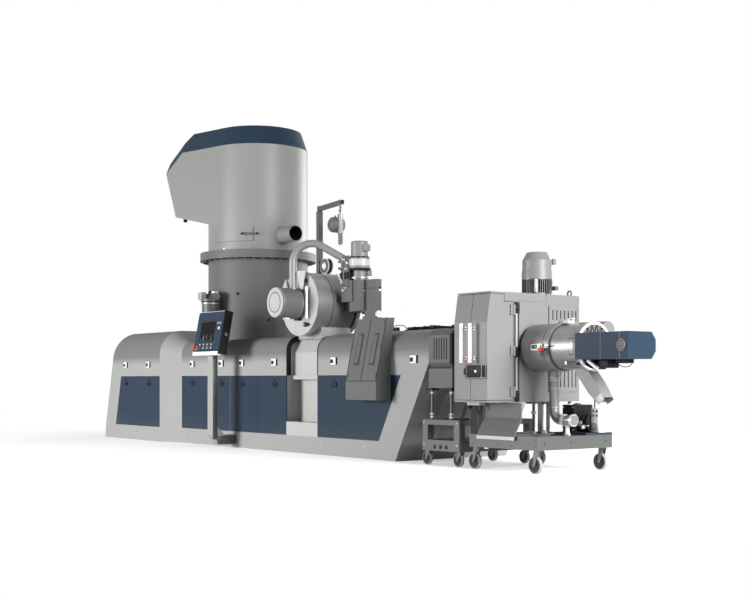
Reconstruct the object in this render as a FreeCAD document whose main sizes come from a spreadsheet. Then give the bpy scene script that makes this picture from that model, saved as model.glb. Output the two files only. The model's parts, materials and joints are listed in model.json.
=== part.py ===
"""Plastic pelletizing line: cutter-compactor drum, housed extruder base, melt filter, pelletizer trolley.

Millimetres, +Z up. The origin lies on the floor under the axis of the drum. +X runs along the line towards
the pelletizer, -Y faces the operator's side.
"""
import FreeCAD, Part
import Sketcher
import math
import os
import re

os.makedirs("parts", exist_ok=True)
doc = FreeCAD.newDocument("PelletizingLine")
sheet = doc.addObject("Spreadsheet::Sheet", "Sizes")

SIZES = {
    # Housed base
    "foot_left": 3301, "plinth_left": 3272, "bay_start": 2231, "bay_end": 2986, "foot_right": 4651,
    "rake_left": 14.4, "rake_right": 28.2, "end_rise": 150, "left_step": 150, "hood_margin": 147,
    "plinth_top": 235, "deck": 1054, "left_crown": 1790, "left_round": 410, "mid_crown": 1600,
    "mid_round": 200, "right_spring": 1372, "right_round": 204, "right_sweep": 74, "crown_round": 1296,
    "panel_thick": 14, "panel_gap": 4, "seam_one": 70, "seam_two": 713, "rib_low": 60, "rib_high": 84,
    "rib_top": 843, "rib_bury": 5, "rib_thick": 50, "left_column": 392, "right_column": 450,
    "bay_sill": 420, "bay_recess": 225, "bay_ledge": 1000, "bay_ledge_inset": 95, "bay_cover_inset": 125,
    "bay_cover_spring": 1370, "bay_top": 1550, "bay_top_inset": 225, "step_clear": 11, "step_run": 465,
    # Cutter-compactor drum and feed head
    "drum_r": 778, "drum_wall": 16, "drum_gap": 1, "flange_low": 2836, "flange_top": 2961,
    "head_base": 4570, "cap_rise": 290, "cap_inset": 100, "head_turn": 192, "duct_low_x": 75,
    "duct_low_z": 3340, "duct_chin_z": 3569, "duct_nose_drop": 291, "cap_nose_drop": 131,
    "feed_margin": 90, "hatch_from": -85.4, "hatch_to": -37.6, "hatch_low": 3095, "hatch_high": 3300,
    "hatch_proud": 8, "seat": 0.3, "port_r": 120, "port_bore": 110, "port_z": 3190, "port_y": 50,
    "port_lip": 10, "unit_x": 130, "unit_r": 140, "unit_low": 1640, "unit_top": 2180, "unit_cap": 40,
    "unit_lip": 12, "unit_motor_r": 55, "unit_motor_length": 230, "flange_lip": 127, "port_collar": 22,
    "port_reach": 366, "duct_chin_out": 292, "duct_nose_out": 526, "duct_fold_out": 127,
    "cap_fold_in": 33, "cap_nose_out": 477, "unit_motor_seat": 33,
    # Operator panel on its floor arm
    "panel_x": 455, "panel_width": 745, "panel_height": 580, "panel_depth": 130, "panel_out": 480,
    "panel_low": 1410, "panel_lean": 11, "panel_corner": 30, "arm_x": 755, "arm_width": 150,
    "arm_out": 405, "arm_deep": 80, "arm_top": 1590, "arm_bar_low": 50, "arm_bar_top": 190,
    "arm_mitre": 120, "arm_plate_margin": 50, "arm_plate_thick": 12, "arm_plate_low": 20,
    # Melt filter
    "filter_x": 2611, "filter_z": 2027, "filter_out": 31, "filter_back": 304, "filter_r": 420,
    "filter_flange_r": 440, "filter_flange_thick": 40, "filter_drive_r": 200, "filter_reach": 393,
    "filter_bar_x": 2840, "filter_bar_half": 215, "filter_bar_size": 24, "filter_bar_off": 60,
    "saddle_half": 270, "saddle_inset": 135, "saddle_top": 1760, "saddle_gap": 1, "hose_r": 50,
    "hose_x": 2660, "hose_out": 144, "hose_turn": 45, "hose_rise": 533, "hose_bend": 260,
    "hose_slope": 30, "hose_fall": 360, "valve_x": 3140, "valve_long": 190, "valve_deep": 210,
    "valve_top": 2640, "valve_inset": 275, "filter_drive_edge": 12, "filter_stub_inset": 40,
    # Jib crane with spring balancer
    "crane_x": 1850, "crane_y": 105, "crane_post": 70, "crane_top": 3428, "jib_gap": 0.3,
    "jib_turn": -10.6, "jib_length": 772, "jib_deep": 60, "jib_cap": 74, "balancer_drop": 150,
    "balancer_back": 130, "link_r": 12, "bracket_size": 60, "balancer_r": 110, "balancer_thick": 90,
    "spring_r": 28, "spring_low": 2880,
    # Filter discharge housing and its motor
    "melt_x": 3419, "melt_width": 281, "melt_depth": 100, "melt_low": 1600, "melt_top": 2312,
    "motor_x": 3360, "motor_stool": 200, "motor_neck_r": 95, "gear_r": 150, "gear_low": 2470,
    "gear_thick": 130, "motor_r": 119, "motor_top": 2829, "motor_edge": 14, "junction_size": 90,
    "junction_deep": 55, "junction_low": 2690, "bridge_half": 130, "bridge_z": 2030, "bridge_deep": 210,
    "melt_inset": 425,
    # Inclined discharge chute with two doors
    "chute_x": 3944, "chute_width": 624, "chute_top_out": 60, "chute_top": 1757, "chute_low_out": 230,
    "chute_low": 977, "chute_mouth": 745, "chute_deep": 60, "chute_seam": 6, "chute_leaf": 22,
    "pull_low": 1190, "pull_high": 1560, "pull_r": 9, "pull_off": 60, "chute_over": 10,
    # Barrel lid, melt pipe, guard box and its cart
    "lid_x": 4200, "lid_length": 640, "lid_half": 400, "lid_rise": 45, "lid_corner": 60, "axis_y": 475,
    "axis_z": 1345, "pipe_r": 95, "guard_x": 5386, "guard_width": 414, "guard_front": 1005,
    "guard_depth": 760, "guard_low": 1125, "guard_top": 1580, "guard_bevel": 70, "slot_count": 6,
    "slot_pitch": 44, "slot_width": 16, "slot_deep": 12, "guard_base_inset": 20, "guard_base_left": 20,
    "guard_base_low": 900, "jack_r": 18, "jack_pad": 55, "jack_pad_thick": 22, "cart_x": 5276,
    "cart_length": 645, "cart_front": 1005, "cart_depth": 1180, "cart_low": 175, "cart_sill": 300,
    "cart_rail": 60, "cart_top": 535, "cart_wall": 90, "jack_from_left": 126,
    # Pelletizer cabinet
    "cab_x": 6047, "cab_length": 534, "cab_front": 1185, "cab_back": 245, "cab_low": 750,
    "cab_top": 1955, "cab_spring": 1620, "cab_lean": 50, "hinge_y": 795, "leaf_thick": 30, "leaf_gap": 6,
    "cab_wall": 20, "strip_y": 930, "strip_low": 1855, "hinge_r": 16, "knuckle_high": 110,
    "handle_low": 1180, "handle_high": 1610, "handle_off": 90, "handle_size": 26, "handle_from_seam": 70,
    "lock_left": 84, "lock_right": 246, "lock_low": 1015, "lock_rise": 145, "lock_deep": 70,
    "roof_front": 236, "roof_thick": 90, "eye_inset": 81, "eye_near": 161, "eye_far": 173, "eye_r": 30,
    "eye_thick": 14, "vent_front": 255, "vent_back": 218, "vent_low": 860, "vent_top": 1830,
    "vent_proud": 14, "vent_pitch": 62, "vent_slot": 16, "vent_slot_deep": 8, "vent_slot_high": 110,
    "vent_slot_low": 210, "vent_margin": 50, "side_motor_r": 110, "side_motor_z": 1550, "drive_y": 150,
    "drive_r": 152, "drive_foot": 30, "drive_rise": 495, "cowl_r": 170, "cowl_rise": 310,
    "cowl_bell": 90, "side_motor_inset": 153, "side_motor_run": 349, "side_motor_off": 99,
    "drive_inset": 253, "drive_foot_lip": 6, "cowl_crown_r": 122.4,
    # Pelletizer head
    "clamp_r": 262, "clamp_length": 210, "clamp_neck": 60, "neck_r": 215, "chamber_r": 240, "end_r": 262,
    "end_thick": 60, "cover_front": 761, "cover_back": 338, "cover_low": 1206, "cover_top": 1482,
    "cover_cut_y": 63, "cover_cut_z": 80, "spout_y": 475, "spout_width": 150, "spout_heel_z": 1110,
    "spout_nape_z": 1085, "spout_knee_z": 858, "spout_toe_z": 738, "spout_lip_z": 789,
    "spout_chin_z": 900, "spout_brow_z": 985, "spout_wall": 8, "water_r": 54, "water_low": 560,
    "water_bend": 110, "water_run": 200, "chamber_run": 819, "cover_run": 770, "spout_heel_back": 160,
    "spout_knee_run": 50, "spout_toe_run": 190, "spout_lip_run": 270, "spout_chin_run": 200,
    "spout_brow_run": 140, "water_from_clamp": 306, "collar_lip": 12, "collar_long": 40,
    "collar_drop": 60,
    # Trolley, scrap chute and water tank
    "trolley_front": 1000, "trolley_back": 150, "trolley_low": 250, "trolley_top": 393,
    "trolley_wall": 110, "column_size": 100, "leg_r": 20, "leg_near": 280, "leg_far": 130,
    "scrap_length": 590, "scrap_fold": 580, "scrap_low": 385, "scrap_front": 1030, "scrap_back": 920,
    "scrap_thick": 12, "scrap_lip": 40, "tray_deep": 420, "tray_thick": 24, "tank_length": 170,
    "tank_deep": 300, "tank_rise": 300, "pump_length": 160, "pump_r": 100, "pump_y": 0, "control_y": -50,
    "control_long": 110, "control_deep": 110, "control_rise": 270, "control_stick": 110,
    "control_knob_r": 22, "trolley_inset": 43, "trolley_run": 579, "column_inset": 20,
    "scrap_inset": 193, "tray_from_clamp": 109, "tank_inset": 10, "control_gap": 10, "stick_r": 7,
    "stick_x": 20, "stick_y": 30, "knob_seat": 17.6,
    # Casters
    "trolley_wheel_r": 93, "trolley_wheel_wide": 42, "cart_wheel_r": 80, "cart_wheel_wide": 36,
    "fork_gap": 3, "fork_plate": 7, "fork_trail": 34, "stem_r": 16, "swivel_gap": 0.3, "stem_long": 4,
    "axle_r": 9, "axle_gap": 0.1, "trolley_cast_inset": 55, "trolley_cast_far_inset": 90,
    "trolley_cast_from_left": 70, "cart_cast_inset": 70, "cart_cast_from_left": 44,
    "cart_cast_from_right": 51, "tread_edge": 6, "dish_share": 0.7, "dish_deep": 8, "cheek_foot": 14,
    "cheek_front": 30, "cheek_back": 34,
}
for row, (alias, size) in enumerate(SIZES.items(), start=1):
    sheet.set("A%d" % row, alias)
    sheet.set("B%d" % row, str(size))
    sheet.setAlias("B%d" % row, alias)
doc.recompute()

# Sizes that follow from others
FOLLOWS = {
    "main_half": "drum_r + hood_margin", "left_half": "main_half + left_step",
    "bay_ledge_half": "main_half - bay_ledge_inset", "bay_cover_half": "main_half - bay_cover_inset",
    "bay_top_half": "main_half - bay_top_inset", "panel_front": "main_half + panel_out",
    "arm_front": "main_half + arm_out", "arm_back": "arm_front - arm_deep",
    "filter_front": "main_half + filter_out", "filter_drive_front": "filter_front + filter_reach",
    "saddle_front": "main_half - saddle_inset", "hose_y": "filter_front + hose_out",
    "chute_top_front": "main_half + chute_top_out", "chute_low_front": "main_half + chute_low_out",
    "duct_nose_z": "head_base - duct_nose_drop", "cap_nose_z": "head_base - cap_nose_drop",
    "flange_r": "drum_r + flange_lip", "step_end": "drum_r + step_clear",
    "step_start": "step_end + step_run",
    "port_seat": "drum_r + port_collar", "port_end": "drum_r + port_reach",
    "duct_chin_x": "drum_r + duct_chin_out", "duct_nose_x": "drum_r + duct_nose_out",
    "duct_fold_x": "drum_r + duct_fold_out", "cap_fold_x": "drum_r - cap_fold_in",
    "cap_nose_x": "drum_r + cap_nose_out",
    "valve_y": "main_half - valve_inset", "melt_front": "main_half - melt_inset", "motor_y": "melt_front",
    "clamp_start": "cab_x + cab_length", "chamber_end": "clamp_start + chamber_run",
    "cover_end": "chamber_end + cover_run", "spout_start": "chamber_end - spout_heel_back",
    "spout_knee_x": "chamber_end + spout_knee_run", "spout_end": "spout_knee_x",
    "spout_toe_x": "chamber_end + spout_toe_run", "spout_lip_x": "chamber_end + spout_lip_run",
    "spout_chin_x": "chamber_end + spout_chin_run", "spout_brow_x": "chamber_end + spout_brow_run",
    "water_x": "clamp_start + water_from_clamp",
    "side_motor_start": "cab_x + side_motor_inset", "side_motor_end": "clamp_start + side_motor_run",
    "drive_x": "cab_x + drive_inset", "trolley_x": "cab_x + trolley_inset",
    "trolley_end": "clamp_start + trolley_run", "column_x": "trolley_x + column_inset",
    "scrap_x": "cab_x + scrap_inset", "tray_x": "clamp_start + tray_from_clamp",
    "tank_x": "tray_x + tank_inset", "pump_x": "tank_x + tank_length",
    "control_x": "pump_x + pump_length + control_gap",
    "trolley_cast_near": "trolley_front - trolley_cast_inset",
    "trolley_cast_far": "trolley_back - trolley_cast_far_inset",
    "trolley_cast_left": "trolley_x + trolley_cast_from_left",
    "trolley_cast_right": "trolley_end - trolley_cast_inset",
    "cart_cast_near": "cart_front - cart_cast_inset",
    "cart_cast_far": "cart_depth - cart_front - cart_cast_inset",
    "cart_cast_left": "cart_x + cart_cast_from_left",
    "cart_cast_right": "cart_x + cart_length - cart_cast_from_right",
}

WORD = re.compile(r"[A-Za-z_][A-Za-z_0-9]*")
NODES = []
ALONG = {
    "z": FreeCAD.Rotation(),
    "x": FreeCAD.Rotation(FreeCAD.Vector(0, 1, 0), 90),
    "y": FreeCAD.Rotation(FreeCAD.Vector(1, 0, 0), -90),
}
PLANES = {"xy": ("XY_Plane", 1), "xz": ("XZ_Plane", -1), "yz": ("YZ_Plane", 1)}


def bound(text):
    """The expression with each size name pointed at its cell."""
    def named(found):
        word = found.group()
        if word in FOLLOWS:
            return "(%s)" % bound(FOLLOWS[word])
        return "Sizes." + word if word in SIZES else word
    return WORD.sub(named, str(text))


def value(text):
    return float(sheet.evalExpression(bound(text)))


def move(item, x=0, y=0, z=0):
    for axis, text in zip("xyz", (x, y, z)):
        item.setExpression("Placement.Base." + axis, bound(text))
    return item


def node(label, item):
    """Names an object as one exported sub-part."""
    item.Label = label
    NODES.append(item)
    return item


def box(name, long, deep, high, x, y, z):
    item = doc.addObject("Part::Box", name)
    for size, text in (("Length", long), ("Width", deep), ("Height", high)):
        item.setExpression(size, bound(text))
    return move(item, x, y, z)


def rod(name, radius, length, x, y, z, along="z"):
    item = doc.addObject("Part::Cylinder", name)
    item.Placement = FreeCAD.Placement(FreeCAD.Vector(), ALONG[along])
    item.setExpression("Radius", bound(radius))
    item.setExpression("Height", bound(length))
    return move(item, x, y, z)


def cone(name, low_radius, high_radius, length, x, y, z, along="z"):
    item = doc.addObject("Part::Cone", name)
    item.Placement = FreeCAD.Placement(FreeCAD.Vector(), ALONG[along])
    item.setExpression("Radius1", bound(low_radius))
    item.setExpression("Radius2", bound(high_radius))
    item.setExpression("Height", bound(length))
    return move(item, x, y, z)


def join(name, items):
    item = doc.addObject("Part::MultiFuse", name)
    item.Shapes = items
    return item


def group(name, items):
    """Like pieces that do not touch, kept as one sub-part."""
    item = doc.addObject("Part::Compound", name)
    item.Links = items
    return item


def cut(name, base, tools):
    item = doc.addObject("Part::Cut", name)
    item.Base = base
    item.Tool = tools[0] if len(tools) == 1 else join(name + "_tools", tools)
    return item


def common(name, items):
    item = doc.addObject("Part::MultiCommon", name)
    item.Shapes = items
    return item


def draw(body, plane, start, loops):
    """A sketch on one of the body's origin planes, its vertices held by two sizes and its arcs by a radius.

    A loop is a list of (u, v) or (u, v, radius): the radius bends the edge that arrives there, to the left
    when positive and to the right when negative. A loop may also be ("circle", u, v, radius).
    """
    role, sign = PLANES[plane]
    sketch = body.newObject("Sketcher::SketchObject", body.Name + "_outline")
    sketch.AttachmentSupport = [(next(f for f in body.Origin.OriginFeatures if f.Role == role), "")]
    sketch.MapMode = "FlatFace"
    sketch.setExpression("AttachmentOffset.Base.z", bound("(%s) * %d" % (start, sign)))
    up = FreeCAD.Vector(0, 0, 1)
    limits, texts = [], []

    def hold(kind, axis, geo, pos, text):
        if text == "0":
            limits.append(Sketcher.Constraint("PointOnObject", geo, pos, axis))
            texts.append(None)
        else:
            limits.append(Sketcher.Constraint(kind, -1, 1, geo, pos, value(text)))
            texts.append(text)

    count = 0
    for loop in loops:
        if loop[0] == "circle":
            _, u, v, radius = loop
            centre = FreeCAD.Vector(value(u), value(v), 0)
            geo = sketch.addGeometry(Part.Circle(centre, up, value(radius)), False)
            hold("DistanceX", -2, geo, 3, u)
            hold("DistanceY", -1, geo, 3, v)
            limits.append(Sketcher.Constraint("Radius", geo, value(radius)))
            texts.append(radius)
            count = geo + 1
            continue
        spots = [FreeCAD.Vector(value(p[0]), value(p[1]), 0) for p in loop]
        ends = []
        for index, point in enumerate(loop):
            first, last = spots[index - 1], spots[index]
            if len(point) == 2:
                geo = sketch.addGeometry(Part.LineSegment(first, last), False)
                ends.append((geo, 1, 2))
                continue
            radius = value(point[2])
            chord = last - first
            height = math.sqrt(max(radius ** 2 - (chord.Length / 2) ** 2, 0))
            side = FreeCAD.Vector(-chord.y, chord.x, 0).normalize() * math.copysign(height, radius)
            centre = (first + last) * 0.5 + side
            begin, finish = (first, last) if radius > 0 else (last, first)
            angles = [math.atan2(p.y - centre.y, p.x - centre.x) for p in (begin, finish)]
            if angles[1] < angles[0]:
                angles[1] += 2 * math.pi
            arc = Part.ArcOfCircle(Part.Circle(centre, up, abs(radius)), angles[0], angles[1])
            geo = sketch.addGeometry(arc, False)
            ends.append((geo, 1, 2) if radius > 0 else (geo, 2, 1))
        for index, point in enumerate(loop):
            geo, _, last_end = ends[index]
            next_geo, next_start, _ = ends[(index + 1) % len(loop)]
            limits.append(Sketcher.Constraint("Coincident", geo, last_end, next_geo, next_start))
            texts.append(None)
            hold("DistanceX", -2, geo, last_end, point[0])
            hold("DistanceY", -1, geo, last_end, point[1])
            if len(point) == 3:
                limits.append(Sketcher.Constraint("Radius", geo, abs(value(point[2]))))
                texts.append("abs(%s)" % point[2])
    sketch.addConstraint(limits)
    for index, text in enumerate(texts):
        if text is not None:
            sketch.setExpression("Constraints[%d]" % index, bound(text))
    return sketch


def prism(name, plane, loops, start, length):
    """A padded outline that runs from start towards +X, +Y or +Z."""
    body = doc.addObject("PartDesign::Body", name)
    sketch = draw(body, plane, start, loops if isinstance(loops[0],
            list) or loops[0][0] == "circle" else [loops])
    pad = body.newObject("PartDesign::Pad", name + "_pad")
    pad.Profile = sketch
    pad.Reversed = plane == "xz"
    pad.setExpression("Length", bound(length))
    body.Tip = pad
    return body


def turned(name, outline, x=0, y=0, z=0, along="z"):
    """A full turn of an (r, h) outline about its own axis."""
    body = doc.addObject("PartDesign::Body", name)
    sketch = draw(body, "xz", "0", [outline])
    turn = body.newObject("PartDesign::Revolution", name + "_turn")
    turn.Profile = sketch
    turn.ReferenceAxis = (sketch, ["V_Axis"])
    turn.Angle = 360
    body.Tip = turn
    body.Placement = FreeCAD.Placement(FreeCAD.Vector(), ALONG[along])
    return move(body, x, y, z)


def lofted(name, plane, sections):
    """A ruled loft through outlines on parallel planes, each given as (place, outline)."""
    body = doc.addObject("PartDesign::Body", name)
    sketches = [draw(body, plane, place, [outline]) for place, outline in sections]
    loft = body.newObject("PartDesign::AdditiveLoft", name + "_loft")
    loft.Profile = sketches[0]
    loft.Sections = sketches[1:]
    loft.Ruled = True
    body.Tip = loft
    return body


def slab(left, low, right, high):
    return [(left, low), (right, low), (right, high), (left, high)]


def rounded(left, low, right, high, radius):
    """A rectangle with round corners, drawn anticlockwise."""
    return [
        ("%s + %s" % (left, radius), low, radius), ("%s - %s" % (right, radius), low),
        (right, "%s + %s" % (low, radius), radius), (right, "%s - %s" % (high, radius)),
        ("%s - %s" % (right, radius), high, radius), ("%s + %s" % (left, radius), high),
        (left, "%s - %s" % (high, radius), radius), (left, "%s + %s" % (low, radius)),
    ]


# Places that several housings share
LEFT_DECK = "-plinth_left + (deck - plinth_top) * tan(rake_left)"
RIGHT_PLINTH = "foot_right + plinth_top * tan(rake_right)"
RIGHT_DECK = "foot_right + deck * tan(rake_right)"
SHOULDER_Y = "main_half - right_round * (1 - cos(right_sweep))"
SHOULDER_Z = "right_spring + right_round * sin(right_sweep)"
CROWN_Y = SHOULDER_Y + " - crown_round * cos(right_sweep)"
CROWN_Z = SHOULDER_Z + " + crown_round * (1 - sin(right_sweep))"


def arch(half, low, crown, radius):
    """Cross-section of a hood with quarter-round shoulders, seen along the line."""
    return [
        ("-" + half, low), (half, low), (half, "%s - %s" % (crown, radius)),
        ("%s - %s" % (half, radius), crown, radius), ("-%s + %s" % (half, radius), crown),
        ("-" + half, "%s - %s" % (crown, radius), radius),
    ]


def make_base():
    plan = prism("plinth_plan", "xy", [
        ("-foot_left", "-left_half"), ("-step_start", "-left_half"), ("-step_end", "-main_half"),
        (RIGHT_PLINTH, "-main_half"), (RIGHT_PLINTH, "main_half"), ("-step_end", "main_half"),
        ("-step_start", "left_half"), ("-foot_left", "left_half"),
    ], "0", "plinth_top")
    side = prism("plinth_side", "xz", [("-foot_left", "0"), ("foot_right", "0"),
            (RIGHT_PLINTH, "plinth_top"), ("-plinth_left", "plinth_top")], "-left_half",
            "2 * left_half")
    node("plinth", common("plinth_mass", [plan, side]))

    left_outline = [("-plinth_left", "plinth_top"), ("-step_start", "plinth_top"), ("-step_start", "deck"),
                    (LEFT_DECK, "deck")]
    left = prism("left_mass", "xz", left_outline, "-left_half", "2 * left_half")
    mid = prism("mid_mass", "xz", slab("-step_end", "plinth_top", "bay_start", "deck"),
                "-main_half", "2 * main_half")
    right_outline = [("bay_end", "plinth_top"), (RIGHT_PLINTH, "plinth_top"), (RIGHT_DECK, "deck"),
                     ("bay_end", "deck")]
    right = prism("right_mass", "xz", right_outline, "-main_half", "2 * main_half")

    panels = {"left": [], "mid": [], "right": []}
    lean = "(deck - plinth_top) * tan(rake_left)"
    left_panel = [("left_column - plinth_left", "plinth_top"), ("-step_start", "plinth_top"),
                  ("-step_start", "deck"), ("left_column - plinth_left + " + lean, "deck")]
    right_panel = [("bay_end", "plinth_top"), (RIGHT_PLINTH + " - right_column", "plinth_top"),
                   (RIGHT_DECK + " - right_column", "deck"), ("bay_end", "deck")]
    seams = ["-step_end", "seam_one", "seam_two", "bay_start"]
    mid_panels = []
    for first, last in zip(seams, seams[1:]):
        shrink = "" if last == "bay_start" else " - panel_gap"
        mid_panels.append(slab(first, "plinth_top", last + shrink, "deck"))
    for side_name, near, far in (("front", "-%s", "0"), ("rear", "%s - panel_thick", "0")):
        for part_name, half, outlines in (("left", "left_half", [left_panel]),
                ("mid", "main_half", mid_panels), ("right", "main_half", [right_panel])):
            for index, outline in enumerate(outlines):
                name = "panel_%s_%s_%d" % (part_name, side_name, index)
                panels[part_name].append(prism(name, "xz", outline, near % half, "panel_thick"))
    node("left_housing", cut("left_box", left, panels["left"]))
    node("mid_housing", cut("mid_box", mid, panels["mid"]))
    rib = prism("end_rib", "xz", [
        (RIGHT_PLINTH + " - rib_bury", "plinth_top"), (RIGHT_PLINTH + " + rib_low", "plinth_top"),
        ("foot_right + rib_top * tan(rake_right) + rib_high", "rib_top"),
        ("foot_right + rib_top * tan(rake_right) - rib_bury", "rib_top"),
    ], "-axis_y - rib_thick / 2", "rib_thick")
    node("right_housing", join("right_mass_ribbed", [cut("right_box", right, panels["right"]), rib]))
    node("lower_panels", group("panel_set", panels["left"] + panels["mid"] + panels["right"]))

    node("transition_housing", lofted("transition", "yz", [
        ("-step_start", arch("left_half", "plinth_top", "left_crown", "left_round")),
        ("-step_end", arch("main_half", "plinth_top", "mid_crown", "mid_round")),
    ]))
    node("bay_housing", prism("bay", "yz", [("-main_half", "plinth_top"), ("main_half", "plinth_top"),
            ("main_half", "bay_cover_spring"), ("bay_top_half", "bay_top"),
            ("-bay_top_half", "bay_top"), ("-bay_cover_half", "bay_cover_spring"),
            ("-bay_cover_half", "deck"), ("-bay_ledge_half", "deck"), ("-bay_ledge_half", "bay_ledge"),
            ("bay_recess - main_half", "bay_ledge"), ("bay_recess - main_half", "bay_sill"),
            ("-main_half", "bay_sill")], "bay_start", "bay_end - bay_start"))


def make_hoods():
    left_side = prism("left_hood_side", "xz", [
        (LEFT_DECK, "deck"), ("-step_start", "deck"), ("-step_start", "left_crown"),
        ("-plinth_left + (left_crown - plinth_top) * tan(rake_left)", "left_crown"),
    ], "-left_half", "2 * left_half")
    left_arch = prism("left_hood_arch", "yz", arch("left_half", "deck", "left_crown", "left_round"),
                      "-plinth_left", "plinth_left - step_start")
    node("left_hood", common("left_hood_mass", [left_side, left_arch]))

    mid_arch = prism("mid_hood_arch", "yz", arch("main_half", "deck", "mid_crown", "mid_round"),
                     "-step_end", "step_end + bay_start")
    well = rod("drum_well", "drum_r + drum_gap", "mid_crown - deck", "0", "0", "deck")
    node("mid_hood", cut("mid_hood_mass", mid_arch, [well]))

    right_arch = prism("right_hood_arch", "yz", [
        ("-main_half", "deck"), ("main_half", "deck"), ("main_half", "right_spring"),
        (SHOULDER_Y, SHOULDER_Z, "right_round"), (CROWN_Y, CROWN_Z, "crown_round"),
        ("-(%s)" % CROWN_Y, CROWN_Z), ("-(%s)" % SHOULDER_Y, SHOULDER_Z, "crown_round"),
        ("-main_half", "right_spring", "right_round"),
    ], "bay_end", RIGHT_DECK + " + end_rise - bay_end")
    end = RIGHT_DECK + " + end_rise * tan(rake_right)"
    right_side = prism("right_hood_side", "xz", [
        ("bay_end", "deck"), (RIGHT_DECK, "deck"), (end, "deck + end_rise"), (end, "left_crown"),
        ("bay_end", "left_crown"),
    ], "-main_half", "2 * main_half")
    node("right_hood", common("right_hood_mass", [right_arch, right_side]))


def make_drum():
    inner = "drum_r - drum_wall"
    node("drum_shell", turned("drum", [
        (inner, "deck"), ("drum_r", "deck"), ("drum_r", "flange_low"), ("flange_r", "flange_low"),
        ("flange_r", "flange_top"), (inner, "flange_top"),
    ]))

    def duct(name, half, low_x, rise, nose):
        """The feed duct in its own frame: +X out of the drum, +Y towards the operator's side."""
        return prism(name, "xz", [
            ("0", "duct_low_z + " + rise), (low_x, "duct_low_z + " + rise),
            ("duct_chin_x + " + nose, "duct_chin_z + " + rise), ("duct_nose_x + " + nose, "duct_nose_z"),
            ("duct_fold_x", "head_base"), ("0", "head_base"),
        ], "-(%s)" % half, "2 * (%s)" % half)

    outer = join("head_outer", [
        rod("head_drum", "drum_r", "head_base - flange_top", "0", "0", "flange_top"),
        duct("duct_outer", "drum_r", "duct_low_x", "0", "0"),
    ])
    hollow = join("head_hollow", [
        rod("head_bore", inner, "head_base - flange_top", "0", "0", "flange_top"),
        duct("duct_inner", inner, "duct_low_x", "drum_wall", "-drum_wall"),
        prism("feed_opening", "xz", slab("0", "duct_chin_z + feed_margin", "2 * duct_nose_x",
                                         "duct_nose_z - feed_margin"),
              "feed_margin - drum_r", "2 * (drum_r - feed_margin)"),
    ])
    shell = cut("head_walls", outer, [hollow])
    shell.Placement = FreeCAD.Placement(FreeCAD.Vector(), FreeCAD.Rotation(FreeCAD.Vector(0, 0, 1), 0))
    shell.setExpression("Placement.Rotation.Angle", bound("head_turn"))

    wedge = prism("hatch_wedge", "xy", [("0", "0")] + [("2 * drum_r * cos(%s)" % angle,
            "2 * drum_r * sin(%s)" % angle) for angle in ("hatch_from", "hatch_to")], "hatch_low",
            "hatch_high - hatch_low")
    ring = turned("hatch_ring", slab("drum_r + seat", "hatch_low", "drum_r + hatch_proud", "hatch_high"))
    node("inspection_hatch", common("hatch_mass", [ring, wedge]))

    port = join("port_outer", [
        rod("port_tube", "port_r", "port_end", "0", "-port_y", "port_z", "x"),
        rod("port_collar", "port_r + port_lip", "port_seat", "0", "-port_y", "port_z", "x"),
    ])
    bore = rod("port_bore_tool", "port_bore", "port_end", "0", "-port_y", "port_z", "x")
    node("exhaust_port", cut("port_wall", port, [bore,
            rod("port_trim", "drum_r + seat", "4 * port_r", "0", "0", "port_z - 2 * port_r")]))
    node("head_shell", cut("head_bored", shell, [bore]))

    tilt_run = "duct_nose_x - duct_fold_x"
    section = [("-drum_r", "head_base"), ("drum_r", "head_base"),
            ("drum_r - cap_inset", "head_base + cap_rise"),
            ("cap_inset - drum_r", "head_base + cap_rise")]
    straight = prism("cap_straight", "yz", section, "0", "duct_fold_x")
    holder = doc.addObject("PartDesign::Body", "cap_slope_holder")
    slope_sketch = draw(holder, "yz", "duct_fold_x", [section])
    slope = doc.addObject("Part::Extrusion", "cap_slope")
    slope.Base = slope_sketch
    slope.DirMode = "Custom"
    slope.Dir = FreeCAD.Vector(value(tilt_run), 0, value("duct_nose_z - head_base")).normalize()
    slope.setExpression("LengthFwd", bound("sqrt((%s)^2 + (head_base - duct_nose_z)^2)" % tilt_run))
    slope.Solid = True
    profile = prism("cap_profile", "xz", [("-drum_r", "head_base"), ("duct_fold_x", "head_base"),
            ("duct_nose_x", "duct_nose_z"), ("cap_nose_x", "cap_nose_z"),
            ("cap_fold_x", "head_base + cap_rise"), ("-drum_r", "head_base + cap_rise")], "-drum_r",
            "2 * drum_r")
    frustum = cone("cap_cone", "drum_r", "drum_r - cap_inset", "cap_rise", "0", "0", "head_base")
    cap = common("cap_mass", [join("cap_whole", [frustum, straight, slope]), profile])
    cap.Placement = FreeCAD.Placement(FreeCAD.Vector(), FreeCAD.Rotation(FreeCAD.Vector(0, 0, 1), 0))
    cap.setExpression("Placement.Rotation.Angle", bound("head_turn"))
    node("head_cap", cap)

    unit_y = "-(drum_r + drum_gap + unit_r)"
    unit_turned = turned("unit_body", [("0", "unit_low"), ("unit_r - unit_lip", "unit_low"),
            ("unit_r", "unit_low + unit_cap"), ("unit_r", "unit_top"),
            ("unit_r + unit_lip", "unit_top"), ("unit_r + unit_lip", "unit_top + unit_cap"),
            ("0", "unit_top + unit_cap")], "unit_x", unit_y, "0")
    bracket = box("unit_bracket", "unit_r", "2 * unit_r", "unit_r", "unit_x - unit_r / 2", unit_y,
                  "unit_low + unit_r")
    motor = rod("unit_motor", "unit_motor_r", "unit_motor_length", "unit_x - unit_motor_length / 2", unit_y,
                "unit_top + unit_cap + unit_motor_seat", "x")
    node("drum_side_unit", cut("unit_mass", join("unit_joined", [unit_turned, bracket, motor]),
                               [rod("unit_trim", "drum_r + drum_gap", "head_base", "0", "0", "0")]))


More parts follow.
